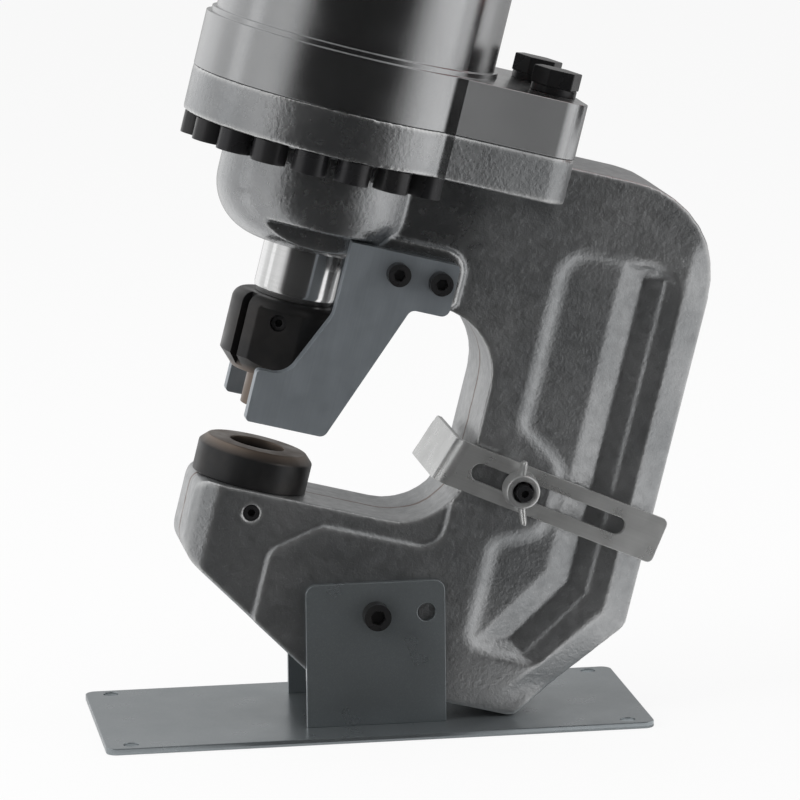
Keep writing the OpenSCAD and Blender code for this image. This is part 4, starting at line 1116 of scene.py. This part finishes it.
@dataclass
class Studio:
    """White floor, soft lamps, screens seen in gloss only, and the camera.

    Each screen's glow is given at shares of its width, from the left end to the right.
    """

    focal: float = 4786.676
    pixels: int = 800
    sensor: float = 36.0
    yaw: float = 0.155583
    pitch: float = 0.188813
    roll: float = -0.0110515
    eye: Point = (-256.657, -1726.946, 453.200)
    daylight: float = 0.4
    floor_side: float = 24.0
    floor_level: float = 0.85
    floor_glow: float = 0.9
    screen_r: float = 2.0
    screen_in: float = 0.03
    screen_top: float = 4.8
    screen_gap: float = 0.12
    front: tuple[Span, ...] = (
        (0.0, 0.64), (0.067, 0.74), (0.11, 0.7), (0.155, 0.42), (0.2, 0.06), (0.25, 0.0), (0.5, 0.0),
        (0.64, 0.003), (0.72, 0.01), (0.78, 0.04), (0.83, 0.22), (0.88, 0.58), (0.94, 0.95), (1.0, 1.1))
    rear: tuple[Span, ...] = (
        (0.0, 1.1), (0.05, 1.05), (0.12, 0.8), (0.2, 0.45), (0.3, 0.36), (0.42, 0.42), (0.5, 0.5),
        (0.6, 0.46), (0.68, 0.85), (0.75, 1.0), (0.9, 1.0), (0.976, 0.7), (1.0, 0.64))

    def build(self) -> None:
        """Sets the camera, the world, the floor, the screens and the lamps."""
        self.camera()
        self.world()
        self.floor()
        self.screen("front_screen", -math.degrees(self.yaw), self.front)
        self.screen("rear_screen", 180.0 - math.degrees(self.yaw), self.rear)
        self.lamp("left_box", (-1.3, -0.35, 0.8), 0.9, 12.0)
        self.lamp("right_box", (1.3, -0.2, 0.8), 0.7, 4.0)
        self.lamp("top_box", (0.0, 0.1, 1.6), 1.1, 9.0)

    def camera(self) -> None:
        """Places the camera where the photograph was taken from."""
        level = Vector((math.sin(self.yaw), math.cos(self.yaw), 0.0)) * math.cos(self.pitch)
        ahead = level - Vector((0.0, 0.0, math.sin(self.pitch)))
        right = Vector((math.cos(self.yaw), -math.sin(self.yaw), 0.0))
        up = right.cross(ahead)
        across = math.cos(self.roll) * right + math.sin(self.roll) * up
        above = -math.sin(self.roll) * right + math.cos(self.roll) * up
        data = bpy.data.cameras.new("camera")
        data.sensor_width = self.sensor
        data.lens = self.focal / self.pixels * self.sensor
        data.clip_start = 0.05
        data.clip_end = 50.0
        piece = bpy.data.objects.new("camera", data)
        turn = Matrix((across, above, -ahead)).transposed().to_4x4()
        piece.matrix_world = Matrix.Translation(Vector(self.eye) * MM) @ turn
        bpy.context.scene.collection.objects.link(piece)
        bpy.context.scene.camera = piece

    def world(self) -> None:
        """Makes a surrounding that lights softly and looks white."""
        world = bpy.data.worlds.new("studio")
        bpy.context.scene.world = world
        world.use_nodes = True
        b = Board(world.node_tree)
        path = b.add("ShaderNodeLightPath").outputs
        seen = b.row("ShaderNodeMath", path["Is Camera Ray"], path["Is Glossy Ray"], operation="MAXIMUM")
        clear = b.row("ShaderNodeMath", seen, path["Is Transmission Ray"], operation="MAXIMUM")
        soft = b.row("ShaderNodeBackground", WHITE, self.daylight)
        white = b.row("ShaderNodeBackground", WHITE, 1.0)
        b.add("ShaderNodeOutputWorld", Surface=b.row("ShaderNodeMixShader", clear, soft, white))

    def floor(self) -> None:
        """Lays the white floor, which keeps a faint shadow."""
        bpy.ops.object.select_all(action="DESELECT")
        bpy.ops.mesh.primitive_plane_add(size=self.floor_side, location=(0.0, 0.0, -0.0002))
        piece = bpy.context.active_object
        piece.name = "floor"
        material = bpy.data.materials.new("floor")
        material.use_nodes = True
        b = Board(material.node_tree)
        plain = b.row("ShaderNodeBsdfDiffuse", (self.floor_level,) * 3)
        glow = b.row("ShaderNodeEmission", WHITE, 1.0)
        seen = b.times(b.add("ShaderNodeLightPath").outputs["Is Camera Ray"], self.floor_glow)
        b.add("ShaderNodeOutputMaterial", Surface=b.row("ShaderNodeMixShader", seen, plain, glow))
        piece.data.materials.append(material)

    def screen(self, name: str, turn: float, stops: Sequence[Span]) -> None:
        """Stands a curved screen with a foot that only gloss sees.

        Args:
            name: Name of the screen.
            turn: Direction of its middle, in degrees from the front.
            stops: Its glow.
        """
        bpy.ops.object.select_all(action="DESELECT")
        bpy.ops.mesh.primitive_cylinder_add(
            vertices=180, radius=self.screen_r, depth=self.screen_top, end_fill_type="NOTHING",
            location=(0.0, 0.0, self.screen_top / 2 + MM))
        piece = bpy.context.active_object
        piece.name = name
        bpy.ops.object.transform_apply()
        middle = math.radians(turn - 90.0)
        ahead = Vector((math.cos(middle), math.sin(middle)))
        Shop.edit(piece)
        Shop.pick(piece, "edges", lambda e: all(v.co.z < 0.01 for v in e.verts))
        bpy.ops.mesh.extrude_region_move(TRANSFORM_OT_translate={"value": (0.0, 0.0, 0.0)})
        inner = self.screen_in / self.screen_r
        bpy.ops.transform.resize(value=(inner, inner, 1.0), center_override=(0.0, 0.0, 0.0))
        Shop.pick(piece, "faces", lambda f: (
            f.calc_center_median().to_2d().normalized().dot(ahead) < self.screen_gap))
        bpy.ops.mesh.delete(type="FACE")
        bpy.ops.object.mode_set(mode="OBJECT")
        piece.data.materials.append(self.gradient(name, turn, stops))
        for ray in ("camera", "diffuse", "shadow", "transmission", "volume_scatter"):
            setattr(piece, f"visible_{ray}", False)

    @staticmethod
    def gradient(name: str, turn: float, stops: Sequence[Span]) -> Material:
        """Makes a screen's glow.

        Args:
            name: Name of the material.
            turn: Direction of the screen's middle, in degrees.
            stops: The glow.

        Returns:
            The material.
        """
        b = Bench(name)
        place = b.turn(b.place, "Z", -turn)
        flat = b.row("ShaderNodeVectorMath", place, (1.0, 1.0, 0.0), operation="MULTIPLY")
        across = b.split(b.row("ShaderNodeVectorMath", flat, operation="NORMALIZE"))["X"]
        ramp = b.add("ShaderNodeValToRGB", Fac=b.spread(across, -1.0, 1.0, 0.0, 1.0))
        ramp.color_ramp.interpolation = "EASE"
        while len(ramp.color_ramp.elements) < len(stops):
            ramp.color_ramp.elements.new(0.5)
        for element, (at, level) in zip(ramp.color_ramp.elements, stops):
            element.position = at
            element.color = (level, level, level, 1.0)
        b.add("ShaderNodeOutputMaterial", Surface=b.row("ShaderNodeEmission", ramp.outputs["Color"]))
        return b.material

    @staticmethod
    def lamp(name: str, place: Point, size: float, power: float) -> None:
        """Hangs a square soft lamp that looks at the object.

        Args:
            name: Name of the lamp.
            place: Its place in metres.
            size: Its side in metres.
            power: Its power in watts.
        """
        data = bpy.data.lights.new(name, "AREA")
        data.size = size
        data.energy = power
        piece = bpy.data.objects.new(name, data)
        piece.visible_glossy = False
        look = (Vector((0.0, 0.0, 0.2)) - Vector(place)).to_track_quat("-Z", "Y")
        piece.matrix_world = Matrix.Translation(place) @ look.to_matrix().to_4x4()
        bpy.context.scene.collection.objects.link(piece)


def finishes() -> dict[str, Material]:
    """Builds the finish of every material slot.

    Returns:
        The material of each slot.
    """
    kinds = (
        # The cast paint's third colour serves its flakes and its painted edge highlight
        CastPaint("cast_paint", (0.29, 0.298, 0.305), (0.43, 0.435, 0.44), (0.85, 0.85, 0.84)),
        SheetPaint("smooth_paint", (0.42, 0.425, 0.43), (0.6, 0.6, 0.6),
                   rough=0.2, metal=0.96, coat=0.1, taper=0.18),
        SheetPaint("stand_paint", (0.31, 0.34, 0.356), (0.46, 0.49, 0.51),
                   rough=0.3, metal=0.75, coat=0.25),
        WorkedMetal("zinc", (0.31, 0.34, 0.368), (0.25, 0.275, 0.3),
                    rough=0.4, lie=Lie.ALONG_RAM, marks=0.006, wear=0.5, metal=0.55),
        WorkedMetal("bright_steel", (0.64, 0.645, 0.64), (0.46, 0.46, 0.45),
                    rough=0.3, lie=Lie.ALONG_BAR, marks=0.006, metal=0.78),
        WorkedMetal("black_steel", (0.025, 0.025, 0.027), (0.05, 0.048, 0.045),
                    rough=0.28, wear=0.5, metal=0.4),
        WorkedMetal("ground_steel", (0.86, 0.86, 0.86), (0.7, 0.7, 0.69),
                    rough=0.14, lie=Lie.ROUND_RAM, marks=0.0015, wear=0.2, metal=0.94),
        WorkedMetal("tool_steel", (0.034, 0.034, 0.035), (0.07, 0.062, 0.056),
                    rough=0.36, marks=0.006, wear=0.5, metal=0.6, cap=(0.17, 0.135, 0.11)),
        WorkedMetal("spring_steel", (0.32, 0.32, 0.33), (0.2, 0.2, 0.2)),
        WorkedMetal("bronze", (0.5, 0.33, 0.14), (0.35, 0.22, 0.09)),
        Moulded("seal", (0.015, 0.02, 0.016), rough=0.55),
        WorkedMetal("motor_core", (0.3, 0.29, 0.28), (0.42, 0.24, 0.1), rough=0.4),
        Moulded("housing_red", (0.42, 0.028, 0.022), rough=0.42, grain=0.012),
        Moulded("housing_black", (0.022, 0.022, 0.024), rough=0.55, grain=0.03),
        WorkedMetal("contact", (0.7, 0.52, 0.25), (0.5, 0.4, 0.2), rough=0.25),
    )
    return {kind.name: kind.material() for kind in kinds}


def edges() -> dict[str, Edge]:
    """Lists the nodes whose edges differ from the plain broken edge.

    Returns:
        The bevel and shading by node.
    """
    kinds = {
        Edge(1.5, 3, 40.0): ("cylinder_body",),
        Edge(0.8, 2, 40.0): ("pump_body", "gear_case"),
        Edge(0.5, 2, 40.0): ("shell_left", "shell_right"),
        Edge(0.8, 3, 40.0): ("battery_pack", "trigger", "release_lever"),
        Edge(0.4, 2, 32.0): ("base_plate",),
        Edge(0.6, 3, 32.0): ("upright_front", "upright_rear"),
        Edge(0.5, 2, 32.0): ("stripper_front", "stripper_rear"),
        Edge(0.5, 3, 25.0): ("die",),
        Edge(0.45, 2, 32.0): ("punch_holder",),
        Edge(0.2, 1, 40.0): ("rotor", "stator"),
        Edge(0.15, 1, 32.0): ("drive_gear",),
        Edge(0.0, 0, 60.0): ("return_spring", "plunger_spring", "piston_seal", "oil_bladder",
                             "shaft_bearings", "rotor_bearings", "eccentric_bearing"),
    }
    return {name: edge for edge, names in kinds.items() for name in names}


def main() -> None:
    """Builds and dresses the whole scene."""
    nodes = frame["nodes"]
    slots = {part["node"]: part["material_slot"] for part in frame["record"]["subparts"]}
    dresser = Dresser(nodes, slots, finishes())
    special = edges()
    tool = ToolFrame()
    Studio().build()
    LOG.info("studio is set")
    casting = Casting(tool)
    replaced = {*casting.nodes, "gauge_bar", "wing_nut"}
    for name in sorted(nodes):
        if name not in replaced:
            dresser.dress(name, special.get(name, Edge()))
    LOG.info("%d nodes dressed", len(nodes) - len(replaced))
    body = casting.build(nodes)
    dresser.paint(body, "cast_paint")
    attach(body, "frame")
    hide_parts(*casting.nodes)
    LOG.info("casting has %d faces", len(body.data.polygons))
    strip = GaugeStop(tool).build()
    dresser.paint(strip, "bright_steel")
    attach(strip, "gauge")
    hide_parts("gauge_bar")
    LOG.info("gauge strip has %d faces", len(strip.data.polygons))
    nut = WingNut(tool).build()
    dresser.paint(nut, "bright_steel")
    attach(nut, "wing_nut")
    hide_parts("wing_nut")
    LOG.info("wing nut has %d faces", len(nut.data.polygons))
    bpy.context.scene.view_settings.view_transform = "Standard"


if __name__ == "__main__":
    logging.basicConfig(level=logging.INFO, format="%(message)s")
    main()
